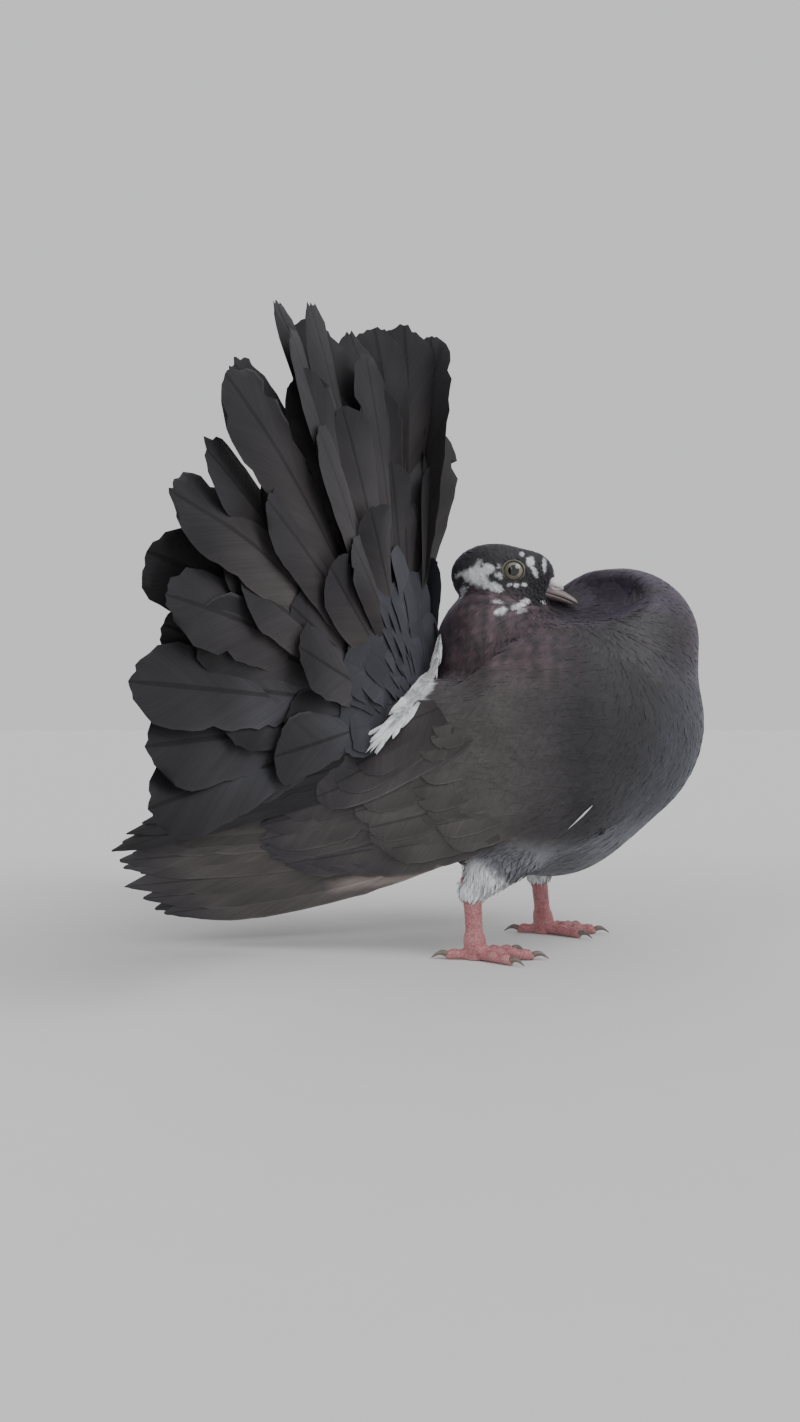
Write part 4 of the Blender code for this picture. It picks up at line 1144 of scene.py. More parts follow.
def vane_tints(grid, base, tip, shares, u, rng, inner=0.0, tip_start=0.72):
    """Colours of a large feather: base colour to the tip's, darker at the quill end, with mottling."""
    rows, columns = grid.shape[:2]
    share = smooth(tip_start, 1.0, shares)[:, None] * np.ones((1, columns))
    colour = mixed(np.zeros((rows, columns, 3)) + np.array(base), tip, share)
    tone = 1 + 0.16 * ripple(grid.reshape(-1, 3), 0.022, int(rng.integers(1, 999))).reshape(rows, columns)
    tone = tone * (0.72 + 0.28 * smooth(0.0, 0.35, shares))[:, None]
    tone = tone * (1 + inner * u[None, :])
    return colour * tone[..., None]


class PIGEON_OT_tail(bpy.types.Operator):
    """Builds the fan: three tiers of tail feathers and their coverts on both faces"""

    bl_idname = "pigeon.tail"
    bl_label = "Tail fan"

    def execute(self, context):
        colours = context.scene.pigeon_colours
        rng = np.random.default_rng(81)
        soot, dust, slate = (np.array(c) for c in (colours.soot, colours.dust, colours.slate))
        tiers = (
            # name, count, share of the full length, spread of lengths, width, rise, rows, columns
            ("back", 35, 1.0, 0.045, 0.0265, 0.0, 34, 9),
            ("front", 31, 0.86, 0.080, 0.0262, 0.0034, 30, 9),
            ("inner", 23, 0.62, 0.120, 0.0240, 0.0062, 22, 9),
        )
        for name, count, share, spread, width, rise, rows, columns in tiers:
            blades = Blades()
            spacing = 2 * FAN_EDGE / (count - 1)
            for i in range(count):
                bearing = (i - (count - 1) / 2) * spacing + spacing * rng.uniform(-0.28, 0.28)
                low = min(abs(bearing) / (math.pi / 2), 1.0)
                length = FAN_LENGTH_TOP + (FAN_LENGTH_SIDE - FAN_LENGTH_TOP) * low
                length = (length + FAN_LENGTH_BULGE * math.sin(math.pi * low)) * share
                length *= 1 + spread * rng.uniform(-1, 1)
                middle = math.exp(-((bearing / math.radians(30)) ** 2))
                hook = float(rng.uniform(0.008, 0.022)) * (1 - 0.8 * low) if rng.uniform() < 0.25 else 0.0
                grid, normals, shares, u = fan_blade(
                    bearing, length, width * rng.uniform(0.90, 1.10), rise + rng.uniform(-0.0006, 0.0006),
                    rows, columns, rng,
                    lean=math.radians(rng.uniform(-2.2, 2.2)),
                    curl=rng.uniform(0.003, 0.010),
                    twist=math.radians(rng.uniform(-17, 17) + 32 * middle),
                    sway=rng.uniform(-0.007, 0.007) + math.copysign(0.006 * low, bearing),
                    camber=rng.uniform(0.0012, 0.0034),
                    spacing=spacing,
                    splits=int(rng.integers(2, 8)),
                    hook=hook,
                )
                base = mixed(dust, soot, 0.6 * smooth(0.75, 0.25, low))
                base = mixed(base, slate, 0.8 * smooth(0.72, 1.0, low))
                # Painted shade: these factors darken every tail feather and its tip for the shade over the
                # fan, and the top feathers more than the sides; part of the spread between feathers is their
                # own tone.
                base = base * rng.uniform(0.48, 0.80) * (1 + 0.5 * low)
                tip = soot * rng.uniform(0.55, 0.95)
                inner = rng.uniform(-0.2, 0.2)
                tints = vane_tints(grid, base, tip, shares, u, rng, inner=inner, tip_start=0.50)
                cell = feather_cell(rows, columns, i, count)
                blades.add_one(grid, normals, 0.00030, tints, cell, rng)
            piece = blades.make("tail_feathers_" + name, coat_material("flight_feathers"))
            finish_piece(piece, "plumage", "tail_fan_left", "tail_fan_middle", "tail_fan_right")
        blades = Blades()
        rows_of_coverts = (
            # count, length, width, rise, facing
            (31, 0.064, 0.0190, 0.0084, 1),
            (29, 0.055, 0.0190, 0.0098, 1),
            (27, 0.046, 0.0180, 0.0110, 1),
            (23, 0.037, 0.0170, 0.0120, 1),
            (19, 0.028, 0.0160, 0.0126, 1),
            (21, 0.062, 0.0190, -0.0034, -1),
            (17, 0.044, 0.0180, -0.0050, -1),
            (15, 0.031, 0.0160, -0.0066, -1),
            (11, 0.021, 0.0140, -0.0080, -1),
        )
        total = sum(line[0] for line in rows_of_coverts)
        rows, columns, first = 14, 7, 0
        for count, length, width, rise, facing in rows_of_coverts:
            spacing = 2 * FAN_EDGE / (count - 1)
            for i in range(count):
                bearing = (i - (count - 1) / 2) * spacing + spacing * rng.uniform(-0.2, 0.2)
                grid, normals, shares, u = fan_blade(
                    bearing, length * rng.uniform(0.90, 1.10), width * rng.uniform(0.9, 1.1),
                    rise + rng.uniform(-0.0003, 0.0003), rows, columns, rng, spacing,
                    curl=0.0, twist=math.radians(rng.uniform(-3, 3)), camber=0.0004 * facing, splits=1,
                    hook=0.0030 * facing, root=0.004, shape=COVERT_VANE, shingle=0.0004
                )
                base = mixed(soot, slate, 0.6) * rng.uniform(0.85, 1.1)
                tints = vane_tints(grid, base, base * 0.9, shares, u, rng)
                cell = feather_cell(rows, columns, first + i, total)
                blades.add_one(grid, normals, 0.00022, tints, cell, rng)
            first += count
        piece = blades.make("tail_coverts", coat_material("contour_feathers"))
        finish_piece(piece, "plumage", "tail_fan_left", "tail_fan_middle", "tail_fan_right")
        return {"FINISHED"}


# Wings


def wing_sheet():
    """How far out the wing's inner face lies, on a grid over x and z."""
    if "sheet" not in bird:
        x, z = np.meshgrid(WING_GRID_X, WING_GRID_Z, indexing="ij")
        share = np.clip((WING_PLANE_X[0] - x) / (WING_PLANE_X[0] - WING_PLANE_X[1]), 0, 1)
        plane = WING_PLANE[0] + (WING_PLANE[1] - WING_PLANE[0]) * share
        tuck = 5.0 + 11.0 * smooth(-0.012, 0.030, x)
        plane = plane - 8.0 * np.maximum(z - 0.088, 0) ** 2 - tuck * np.maximum(0.070 - z, 0) ** 2
        plane = plane - 16.0 * np.maximum(x - 0.034, 0) ** 2
        body = np.zeros(x.shape)
        outs = np.linspace(0.060, 0.0, 61)
        for side in (1, -1):
            found = np.zeros(x.shape)
            done = np.zeros(x.shape, bool)
            before = None
            for out in outs:
                level = body_distance(np.stack((x, np.full(x.shape, side * out), z), axis=-1))
                inside = (level < 0) & ~done
                if before is not None:
                    part = before / np.maximum(before - level, 1e-9)
                    found = np.where(inside, out + 0.001 * (1 - part), found)
                done |= inside
                before = level
            body = np.maximum(body, found)
        bird["sheet"] = -blended(-plane, -(body - 0.0012), 0.004)
    return bird["sheet"]


def sheet_at(x, z):
    """The wing's inner face at these places."""
    sheet = wing_sheet()
    i = np.clip((x - WING_GRID_X[0]) / (WING_GRID_X[1] - WING_GRID_X[0]), 0, len(WING_GRID_X) - 1.001)
    j = np.clip((z - WING_GRID_Z[0]) / (WING_GRID_Z[1] - WING_GRID_Z[0]), 0, len(WING_GRID_Z) - 1.001)
    a, b = i.astype(int), j.astype(int)
    s, t = i - a, j - b
    low = sheet[a, b] * (1 - s) + sheet[a + 1, b] * s
    high = sheet[a, b + 1] * (1 - s) + sheet[a + 1, b + 1] * s
    return low * (1 - t) + high * t


def on_wing(x, z, lift, side):
    """Points over the wing's inner face and the way out of it there."""
    step = 0.003
    slope_x = (sheet_at(x + step, z) - sheet_at(x - step, z)) / (2 * step)
    slope_z = (sheet_at(x, z + step) - sheet_at(x, z - step)) / (2 * step)
    slope_x, slope_z = np.clip(slope_x, -1.2, 1.2), np.clip(slope_z, -1.2, 1.2)
    out = unit(np.stack((-slope_x, np.ones_like(x), -slope_z), axis=-1))
    points = np.stack((x, sheet_at(x, z), z), axis=-1) + out * lift[..., None]
    flip = np.array((1.0, side, 1.0))
    return points * flip, out * flip


def curve_points(line, shares):
    """Places on a smooth line through a few points."""
    line = np.array(line)
    last = len(line) - 1
    place = np.asarray(shares) * last
    i = np.minimum(place.astype(int), last - 1)
    t = (place - i)[:, None]
    p0, p1, p2, p3 = (line[np.clip(i + k, 0, last)] for k in (-1, 0, 1, 2))
    bend = 2 * p0 - 5 * p1 + 4 * p2 - p3
    swing = 3 * p1 - p0 - 3 * p2 + p3
    return 0.5 * (2 * p1 + (p2 - p0) * t + bend * t**2 + swing * t**3)


LONG_VANE = ((0.0, 0.12, 0.35, 0.6, 0.8, 0.92, 0.97, 1.0), (0.30, 0.55, 0.85, 1.0, 0.96, 0.74, 0.52, 0.24))
ROUND_VANE = ((0.0, 0.2, 0.5, 0.75, 0.9, 1.0), (0.42, 0.72, 0.96, 1.0, 0.90, 0.62))


def wing_blades(
    blades, side, roots, tips, width, lifts, rows, columns, rng, tint, first, total, sag, shape, splits
):
    """Feathers laid side by side along the wing, the lower edge of each one outermost.

    first and total give their cells among those of the whole wing.
    """
    shingle, camber, thick = 0.0009, 0.0006, 0.00025
    count = len(roots)
    shares = np.concatenate((np.linspace(0, 0.9, rows - 3), (0.94, 0.975, 1.0)))
    u = np.linspace(-1, 1, columns)
    for i in range(count):
        root, tip = roots[i], tips[i]
        along = unit(tip - root)
        across = np.array((along[1], -along[0]))
        across = across if across[1] > 0 else -across
        length = np.linalg.norm(tip - root)
        fall = sag[i] * np.sin(np.pi * shares)
        middle = root + (tip - root) * shares[:, None] - across * fall[:, None]
        half = width * rng.uniform(0.94, 1.06) * np.interp(shares, *shape) / 2
        edges = np.ones((rows, columns))
        for _ in range(splits):
            place, depth = rng.uniform(0.4, 0.95), rng.uniform(0.08, 0.28)
            edges[:, rng.choice((0, -1))] -= depth * np.clip(1 - np.abs(shares - place) / 0.025, 0, 1)
        edges[:, (0, -1)] += rng.normal(0, 0.02, (rows, 2))
        pull = -0.05 * u[None, :] ** 2 * smooth(0.7, 1.0, shares)[:, None]
        pull = pull + rng.normal(0, 0.003, (rows, columns)) * smooth(0.85, 1.0, shares)[:, None]
        spot = middle[:, None, :] + across * (half[:, None] * u * edges)[..., None]
        spot = spot + along * (pull * length)[..., None]
        lift = lifts[0] + (lifts[1] - lifts[0]) * shares[:, None] - shingle * u[None, :]
        lift = lift - camber * u[None, :] ** 2 + rng.normal(0, 0.00012)
        grid, normals = on_wing(spot[..., 0], spot[..., 1], lift, side)
        if looks_in(grid, normals):
            grid, normals = grid[:, ::-1], normals[:, ::-1]
        tints = tint(grid, shares, u)
        blades.add_one(grid, normals, thick, tints, feather_cell(rows, columns, first + i, total), rng)


def wing_arm(name, side):
    """The closed arm of the wing, which the skin takes in."""
    columns, rows = 40, 16
    xs = np.linspace(SHIELD_STATIONS[0, 0] - 0.002, WING_ARM_REAR, columns)
    low = np.interp(xs, SHIELD_STATIONS[::-1, 0], SHIELD_STATIONS[::-1, 1])
    high = np.interp(xs, SHIELD_STATIONS[::-1, 0], SHIELD_STATIONS[::-1, 2])
    share = np.linspace(0, 1, rows)
    z = low[:, None] + (high - low)[:, None] * (0.03 + 0.94 * share)
    x = np.broadcast_to(xs[:, None], z.shape)
    crown = np.sin(np.pi * share)[None, :] ** 0.6 * smooth(0.0, 4.0, np.arange(columns))[:, None]
    crown = crown * smooth(columns, columns - 5.0, np.arange(columns) + 1.0)[:, None]
    outer, normals = on_wing(x, z, 0.0008 + 0.0030 * crown, side)
    if looks_in(outer, normals):
        outer, normals = outer[::-1], normals[::-1]
    points = blade_arrays(outer[None], normals[None], WING_ARM_DEPTH)[0]
    mesh = bpy.data.meshes.new(name)
    mesh.from_pydata(points.tolist(), [], blade_faces(*outer.shape[:2]).tolist())
    arm = bpy.data.objects.new(name, mesh)
    bpy.context.scene.collection.objects.link(arm)
    return arm


class PIGEON_OT_wings(bpy.types.Operator):
    """Builds both folded wings: flight feathers, inner feathers, rows of coverts and loose dark feathers"""

    bl_idname = "pigeon.wings"
    bl_label = "Wings"

    def execute(self, context):
        for name, side in SIDES.items():
            blades = Blades()
            self.flight(context, blades, side, np.random.default_rng(91 + side))
            piece = blades.make("wing_feathers_" + name, coat_material("wing_feathers"))
            finish_piece(piece, "plumage", "wing_" + name)
        return {"FINISHED"}

    def flight(self, context, blades, side, rng):
        colours = context.scene.pigeon_colours
        soot, dust = np.array(colours.soot), np.array(colours.dust)
        shared = mixed(soot, dust, 0.8)
        groups = (
            # count, root line, tip line, width, lifts, sag, base colour, tip colour
            (10, ((-0.002, 0.0460), (-0.014, 0.0500), (-0.024, 0.0570), (-0.028, 0.0640)),
             ((-0.1290, 0.0165), (-0.1440, 0.0320), (-0.1360, 0.0460), (-0.1130, 0.0600)),
             0.0145, (0.0020, 0.0022), 0.0035, dust, soot * 1.8),
            (11, ((0.006, 0.0500), (-0.004, 0.0570), (-0.014, 0.0690), (-0.018, 0.0800)),
             ((-0.0520, 0.0400), (-0.0790, 0.0370), (-0.0850, 0.0500), (-0.0700, 0.0670)),
             0.0165, (0.0026, 0.0042), 0.0010, mixed(soot, dust, 0.60), soot * 1.5),
            (4, ((-0.006, 0.0860), (-0.012, 0.0900), (-0.016, 0.0930), (-0.018, 0.0950)),
             ((-0.0620, 0.0640), (-0.0560, 0.0700), (-0.0500, 0.0760), (-0.0450, 0.0820)),
             0.0170, (0.0036, 0.0056), 0.0, mixed(soot, dust, 0.50), soot * 1.4),
            (12, ((0.004, 0.0510), (-0.002, 0.0600), (-0.007, 0.0740), (-0.011, 0.0880)),
             ((-0.0340, 0.0445), (-0.0450, 0.0510), (-0.0480, 0.0630), (-0.0400, 0.0780)),
             0.0140, (0.0032, 0.0048), 0.0, shared, mixed(soot, dust, 0.5)),
            (12, ((0.012, 0.0540), (0.009, 0.0660), (0.005, 0.0800), (0.000, 0.0940)),
             ((-0.0150, 0.0480), (-0.0230, 0.0580), (-0.0250, 0.0720), (-0.0200, 0.0870)),
             0.0120, (0.0028, 0.0044), 0.0, shared, mixed(soot, dust, 0.7)),
            (7, ((-0.030, 0.0720), (-0.033, 0.0770), (-0.036, 0.0820), (-0.038, 0.0870)),
             ((-0.1410, 0.0430), (-0.1300, 0.0520), (-0.1180, 0.0600), (-0.0980, 0.0690)),
             0.0085, (0.0030, 0.0075), 0.0, soot * 0.9, soot * 0.7),
        )
        total = sum(group[0] for group in groups)
        first = 0
        for index, (count, root_line, tip_line, width, lifts, sag, base, tip) in enumerate(groups):
            shares = np.linspace(0, 1, count)
            roots, tips = curve_points(root_line, shares), curve_points(tip_line, shares)
            tips = tips + rng.normal(0, 0.0012, tips.shape) * (1.6 if index == 0 else 1.0)
            long = index in (0, 1, 5)
            rows, columns = (26, 7) if long else (14, 7)

            def tint(grid, places, u, base=base, tip=tip, index=index):
                colour = vane_tints(grid, base * rng.uniform(0.85, 1.15), tip, places, u, rng, inner=-0.1)
                x, z = grid[..., 0], grid[..., 2]
                along = (x + 0.062) / 0.050
                away = np.abs(z - 0.0265 - 0.0095 * along) / (0.0020 + 0.0020 * np.clip(along, 0, 1))
                strip = smooth(1.3, 0.7, away + 0.2 * ripple(grid, 0.006, 41))
                strip = strip * smooth(-0.05, 0.25, along) * smooth(1.08, 0.95, along) * (index == 0)
                return mixed(colour, (0.290, 0.250, 0.225), 0.85 * strip)

            wing_blades(
                blades, side, roots, tips, width, lifts, rows, columns, rng, tint, first, total,
                sag=sag * (1 - shares) ** 2,
                shape=LONG_VANE if long else ROUND_VANE,
                splits=(3, 3, 1, 1, 1, 6)[index],
            )
            first += count


# The single white feather on the right side of the breast: start and end (x, z), and width
STRAY_START, STRAY_END, STRAY_WIDTH = (0.0378, 0.0598), (0.0298, 0.0505), 0.0007


class PIGEON_OT_scapulars(bpy.types.Operator):
    """Lays the white feathers that cross from the back of the neck over the root of each wing"""

    bl_idname = "pigeon.scapulars"
    bl_label = "White shoulder band"

    def execute(self, context):
        snow = np.array(context.scene.pigeon_colours.snow)
        line = ((-0.0165, 0.1260), (-0.0190, 0.1120), (-0.0270, 0.1000), (-0.0350, 0.0900))
        depths = (0.0125, 0.0190, 0.0375, 0.0440)
        spreads = (0.0005, 0.0008, 0.0028, 0.0004)
        rows, columns, count = 9, 3, 120
        blades = Blades()
        rng = np.random.default_rng(101)
        for side in SIDES.values():
            shares = np.sort(rng.uniform(0, 1, count)) ** 0.9
            middles = curve_points(line, shares)
            aheads = curve_points(line, np.minimum(shares + 0.05, 1.0))
            aheads = unit(aheads - curve_points(line, np.minimum(shares, 0.95)))
            for i, (share, middle, ahead) in enumerate(zip(shares, middles, aheads)):
                spread = np.interp(share, (0, 0.33, 0.66, 1), spreads)
                out = np.interp(share, (0, 0.33, 0.66, 1), depths)
                turn = math.radians(rng.normal(0, 7))
                ahead = np.array((ahead[0] * math.cos(turn) - ahead[1] * math.sin(turn),
                                  ahead[0] * math.sin(turn) + ahead[1] * math.cos(turn)))
                across = np.array((-ahead[1], ahead[0]))
                offset = rng.normal(0, 0.5) * spread
                root = middle + across * offset
                length = (0.0085 + 0.0060 * share) * rng.uniform(0.7, 1.2)
                width = 0.0011 + 0.0015 * smooth(0.1, 0.6, share) * smooth(1.15, 0.75, share)
                width = width * rng.uniform(0.7, 1.2)
                v, u = np.linspace(0, 1, rows)[:, None], np.linspace(-1, 1, columns)[None, :]
                half = width * np.interp(v, (0, 0.3, 0.7, 0.9, 1), (0.5, 1.0, 0.85, 0.45, 0.12)) / 2
                ragged = 1 + rng.normal(0, 0.10, (rows, columns))
                flat = root + ahead * (length * v)[..., None] + across * (half * u * ragged)[..., None]
                lift = out + 0.0012 + 0.0030 * share * v - 0.0006 * u**2 + rng.uniform(0, 0.0012)
                lift = np.broadcast_to(lift, (rows, columns)) * side
                grid = np.stack((flat[..., 0], lift, flat[..., 1]), axis=-1)
                normals = np.zeros(grid.shape) + unit(np.array((-0.25, 0.90 * side, 0.35)))
                if looks_in(grid, normals):
                    grid = grid[:, ::-1]
                fade = 0.55 + 0.45 * smooth(0.0, 0.3, v) + 0 * u
                tints = snow * 1.12 * fade[..., None] * rng.uniform(0.9, 1.05)
                cell = feather_cell(rows, columns, i + (count if side > 0 else 0), 2 * count + 1)
                blades.add_one(grid, normals, 0.00015, tints, cell, rng)
        self.stray(blades, snow, rng, 2 * count)
        piece = blades.make("scapulars", coat_material("downy_feathers"))
        finish_piece(piece, "plumage", "torso")
        return {"FINISHED"}

    def stray(self, blades, colour, rng, index):
        """A single white feather that lies on the right side's coat, and has the map's last cell."""
        rows, columns = 8, 3
        v, u = np.linspace(0, 1, rows)[:, None], np.linspace(-1, 1, columns)[None, :]
        start, end = np.array(STRAY_START), np.array(STRAY_END)
        way = unit(end - start)
        across = np.array((-way[1], way[0]))
        half = STRAY_WIDTH * np.interp(v, (0, 0.25, 0.6, 0.9, 1), (0.35, 1.0, 0.8, 0.35, 0.1)) / 2
        ragged = 1 + rng.normal(0, 0.12, (rows, columns))
        flat = start + (end - start) * v[..., None] + across * (half * u * ragged)[..., None]
        outer = np.full(flat.shape[:2], -0.048)
        grid = np.stack((flat[..., 0], outer, flat[..., 1]), axis=-1)
        for _ in range(24):
            miss = flesh_distance(grid) + coat_depth(grid) - 0.0009
            grid[..., 1] += 0.8 * miss
        normals = unit(slope_of(flesh_distance, grid))
        if looks_in(grid, normals):
            grid, normals = grid[:, ::-1], normals[:, ::-1]
        tints = np.zeros(grid.shape) + colour
        blades.add_one(grid, normals, 0.00010, tints, feather_cell(rows, columns, index, index + 1), rng)


# Eyes


def solid_object(name, shape):
    """A smooth object from a closed shape, with its faces turned outwards."""
    bmesh.ops.recalc_face_normals(shape, faces=shape.faces)
    if shape.calc_volume(signed=True) < 0:
        bmesh.ops.reverse_faces(shape, faces=shape.faces)
    mesh = bpy.data.meshes.new(name)
    shape.to_mesh(mesh)
    shape.free()
    mesh.shade_smooth()
    obj = bpy.data.objects.new(name, mesh)
    bpy.context.scene.collection.objects.link(obj)
    return obj


def ring_mesh(name, rings):
    """A surface through rings of points, closed by a point on each end."""
    count = len(rings[0])
    shape = bmesh.new()
    loops = [[shape.verts.new(p) for p in ring] for ring in rings]
    for first, second in zip(loops, loops[1:]):
        for i in range(count):
            j = (i + 1) % count
            shape.faces.new((first[i], first[j], second[j], second[i]))
    for loop in (loops[0][::-1], loops[-1]):
        middle = shape.verts.new(sum((v.co for v in loop), Vector()) / count)
        for i in range(count):
            shape.faces.new((loop[i], loop[(i + 1) % count], middle))
    return solid_object(name, shape)


def from_head(obj):
    """Moves a piece from the head's own frame to the bird's."""
    obj.data.transform(Matrix.Translation(HEAD_PLACE) @ HEAD_TURN.to_4x4())
    return obj


def eye_material():
    made, tree, shader = new_material(
        "wet_eye", roughness=0.12, coat_weight=1.0, coat_roughness=0.02, coat_ior=1.38
    )
    place = put(tree, "ShaderNodeUVMap", {"uv_map": "Iris"}).outputs["UV"]
    parts = put(tree, "ShaderNodeSeparateXYZ", None, {0: place}).outputs
    reach, turn = parts[0], parts[1]
    around, outward = calc(tree, "MULTIPLY", turn, 60.0), calc(tree, "MULTIPLY", reach, 4.0)
    where = put(tree, "ShaderNodeCombineXYZ", None, {0: around, 1: outward}).outputs[0]
    streaks = noise(tree, where, 1.0, 4.0)
    ramp = put(tree, "ShaderNodeValToRGB", None, {0: reach})
    stops = (
        (0.0, (0.004, 0.004, 0.005, 1)),
        (0.255, (0.004, 0.004, 0.005, 1)),
        (0.285, (0.25, 0.235, 0.175, 1)),
        (0.36, (0.17, 0.16, 0.12, 1)),
        (0.46, (0.23, 0.22, 0.165, 1)),
        (0.52, (0.05, 0.045, 0.036, 1)),
        (0.58, (0.014, 0.013, 0.012, 1)),
    )
    band = ramp.color_ramp
    while len(band.elements) < len(stops):
        band.elements.new(0.5)
    for element, (position, colour) in zip(band.elements, stops):
        element.position = position
        element.color = colour
    shade(tree, shader, ramp.outputs[0], calc(tree, "MULTIPLY_ADD", streaks, 0.9, 0.55))
    return made


def lid_material():
    made, tree, shader = new_material("bare_lid", roughness=0.62)
    place = own_place(tree)
    beads = put(tree, "ShaderNodeTexVoronoi", None, {"Vector": place, "Scale": 1700.0}).outputs["Distance"]
    tone = calc(tree, "MULTIPLY_ADD", noise(tree, place, 380.0, 3.0), 0.30, 0.70)
    shade(tree, shader, own_tint(tree), tone)
    roughen(tree, shader, 0.6, 0.0003, beads)
    return made


class PIGEON_OT_eyes(bpy.types.Operator):
    """Makes the eyes and the bare rings of skin round them"""

    bl_idname = "pigeon.eyes"
    bl_label = "Eyes"

    def execute(self, context):
        glass, bare = eye_material(), lid_material()
        for name, side in SIDES.items():
            axis = eye_axis(side)
            up = Vector((0, 0, 1))
            ahead = up.cross(axis).normalized()
            up = axis.cross(ahead).normalized()
            segments, steps = 48, 26
            rings = []
            for k in range(1, steps):
                a = math.pi * (k / steps) ** 1.25
                bulge = 0.00035 * math.exp(-((a / 0.42) ** 2))
                radius = EYE_RADIUS + bulge
                centre = axis * (EYE_DEPTH + radius * math.cos(a))
                rings.append(
                    [
                        centre + (ahead * math.cos(t) + up * math.sin(t)) * radius * math.sin(a)
                        for t in (2 * math.pi * i / segments for i in range(segments))
                    ]
                )
            eye = ring_mesh("eyeball_" + name, rings)
            self.map_iris(eye, axis, ahead, up)
            eye.data.materials.append(glass)
            finish_piece(from_head(eye), "eye", "eye_" + name)
            lids = self.lids(name, axis, ahead, up)
            lids.data.materials.append(bare)
            finish_piece(from_head(lids), "plumage", "head")
        return {"FINISHED"}

    def map_iris(self, eye, axis, ahead, up):
        """The iris's own map: distance from the eye's axis, and the turn round it."""
        mesh = eye.data
        layer = mesh.uv_layers.new(name="Iris")
        centre = axis * EYE_DEPTH
        for face in mesh.polygons:
            turns = []
            for loop in face.loop_indices:
                local = mesh.vertices[mesh.loops[loop].vertex_index].co - centre
                turns.append(math.atan2(local.dot(up), local.dot(ahead)) / (2 * math.pi) % 1.0)
            wraps = max(turns) - min(turns) > 0.5
            for loop, turn in zip(face.loop_indices, turns):
                local = mesh.vertices[mesh.loops[loop].vertex_index].co - centre
                reach = local.angle(axis) / (math.pi / 2) if local.length > 0 else 0.0
                if wraps and turn < 0.5:
                    turn += 1.0
                layer.data[loop].uv = (reach, turn)

    def lids(self, name, axis, ahead, up):
        """A rounded, wrinkled ring of bare skin with a nearly round opening."""
        around, through = 56, 10
        rings = []
        for i in range(around):
            a = 2 * math.pi * i / around
            out = ahead * math.cos(a) + up * math.sin(a)
            open_radius = 0.00395 + 0.00020 * math.cos(2 * a)
            wrinkle = 0.00005 * math.sin(17 * a) + 0.00004 * math.sin(29 * a + 1.0)
            points = []
            for k in range(through):
                b = 2 * math.pi * k / through
                reach = open_radius + 0.00068 * math.cos(b) + wrinkle
                height = 0.01015 + 0.00050 * math.sin(b) - 0.12 * (reach - 0.0036)
                points.append(axis * height + out * reach)
            rings.append(points)
        shape = bmesh.new()
        loops = [[shape.verts.new(p) for p in ring] for ring in rings]
        for i in range(around):
            first, second = loops[i], loops[(i + 1) % around]
            for k in range(through):
                m = (k + 1) % through
                shape.faces.new((first[k], first[m], second[m], second[k]))
        lids = solid_object("lids_" + name, shape)
        points = np.array([v.co for v in lids.data.vertices])
        height = points @ np.array(axis)
        reach = np.linalg.norm(points - height[:, None] * np.array(axis), axis=1)
        dark, pale = np.array((0.022, 0.020, 0.020)), np.array((0.27, 0.26, 0.20))
        paint(lids.data, mixed(np.zeros(points.shape) + dark, pale, smooth(0.00405, 0.00440, reach)))
        return lids


# Bill and cere


def bill_material():
    made, tree, shader = new_material("horn_bill", roughness=0.38, coat_weight=0.15, coat_roughness=0.3)
    tone = noise(tree, own_place(tree), 260.0, 4.0)
    colour = mix_colours(tree, tone, (0.12, 0.090, 0.094, 1), (0.27, 0.205, 0.208, 1))
    tree.links.new(colour, shader.inputs["Base Color"])
    roughen(tree, shader, 0.25, 0.0003, tone)
    return made


def cere_material():
    made, tree, shader = new_material("chalky_cere", roughness=0.85)
    place = own_place(tree)
    cracks = put(tree, "ShaderNodeTexVoronoi", None, {"Vector": place, "Scale": 1100.0}).outputs["Distance"]
    tone = noise(tree, place, 700.0, 4.0)
    colour = mix_colours(tree, tone, (0.50, 0.46, 0.46, 1), (0.78, 0.74, 0.74, 1))
    tree.links.new(colour, shader.inputs["Base Color"])
    roughen(tree, shader, 0.5, 0.0003, cracks)
    return made


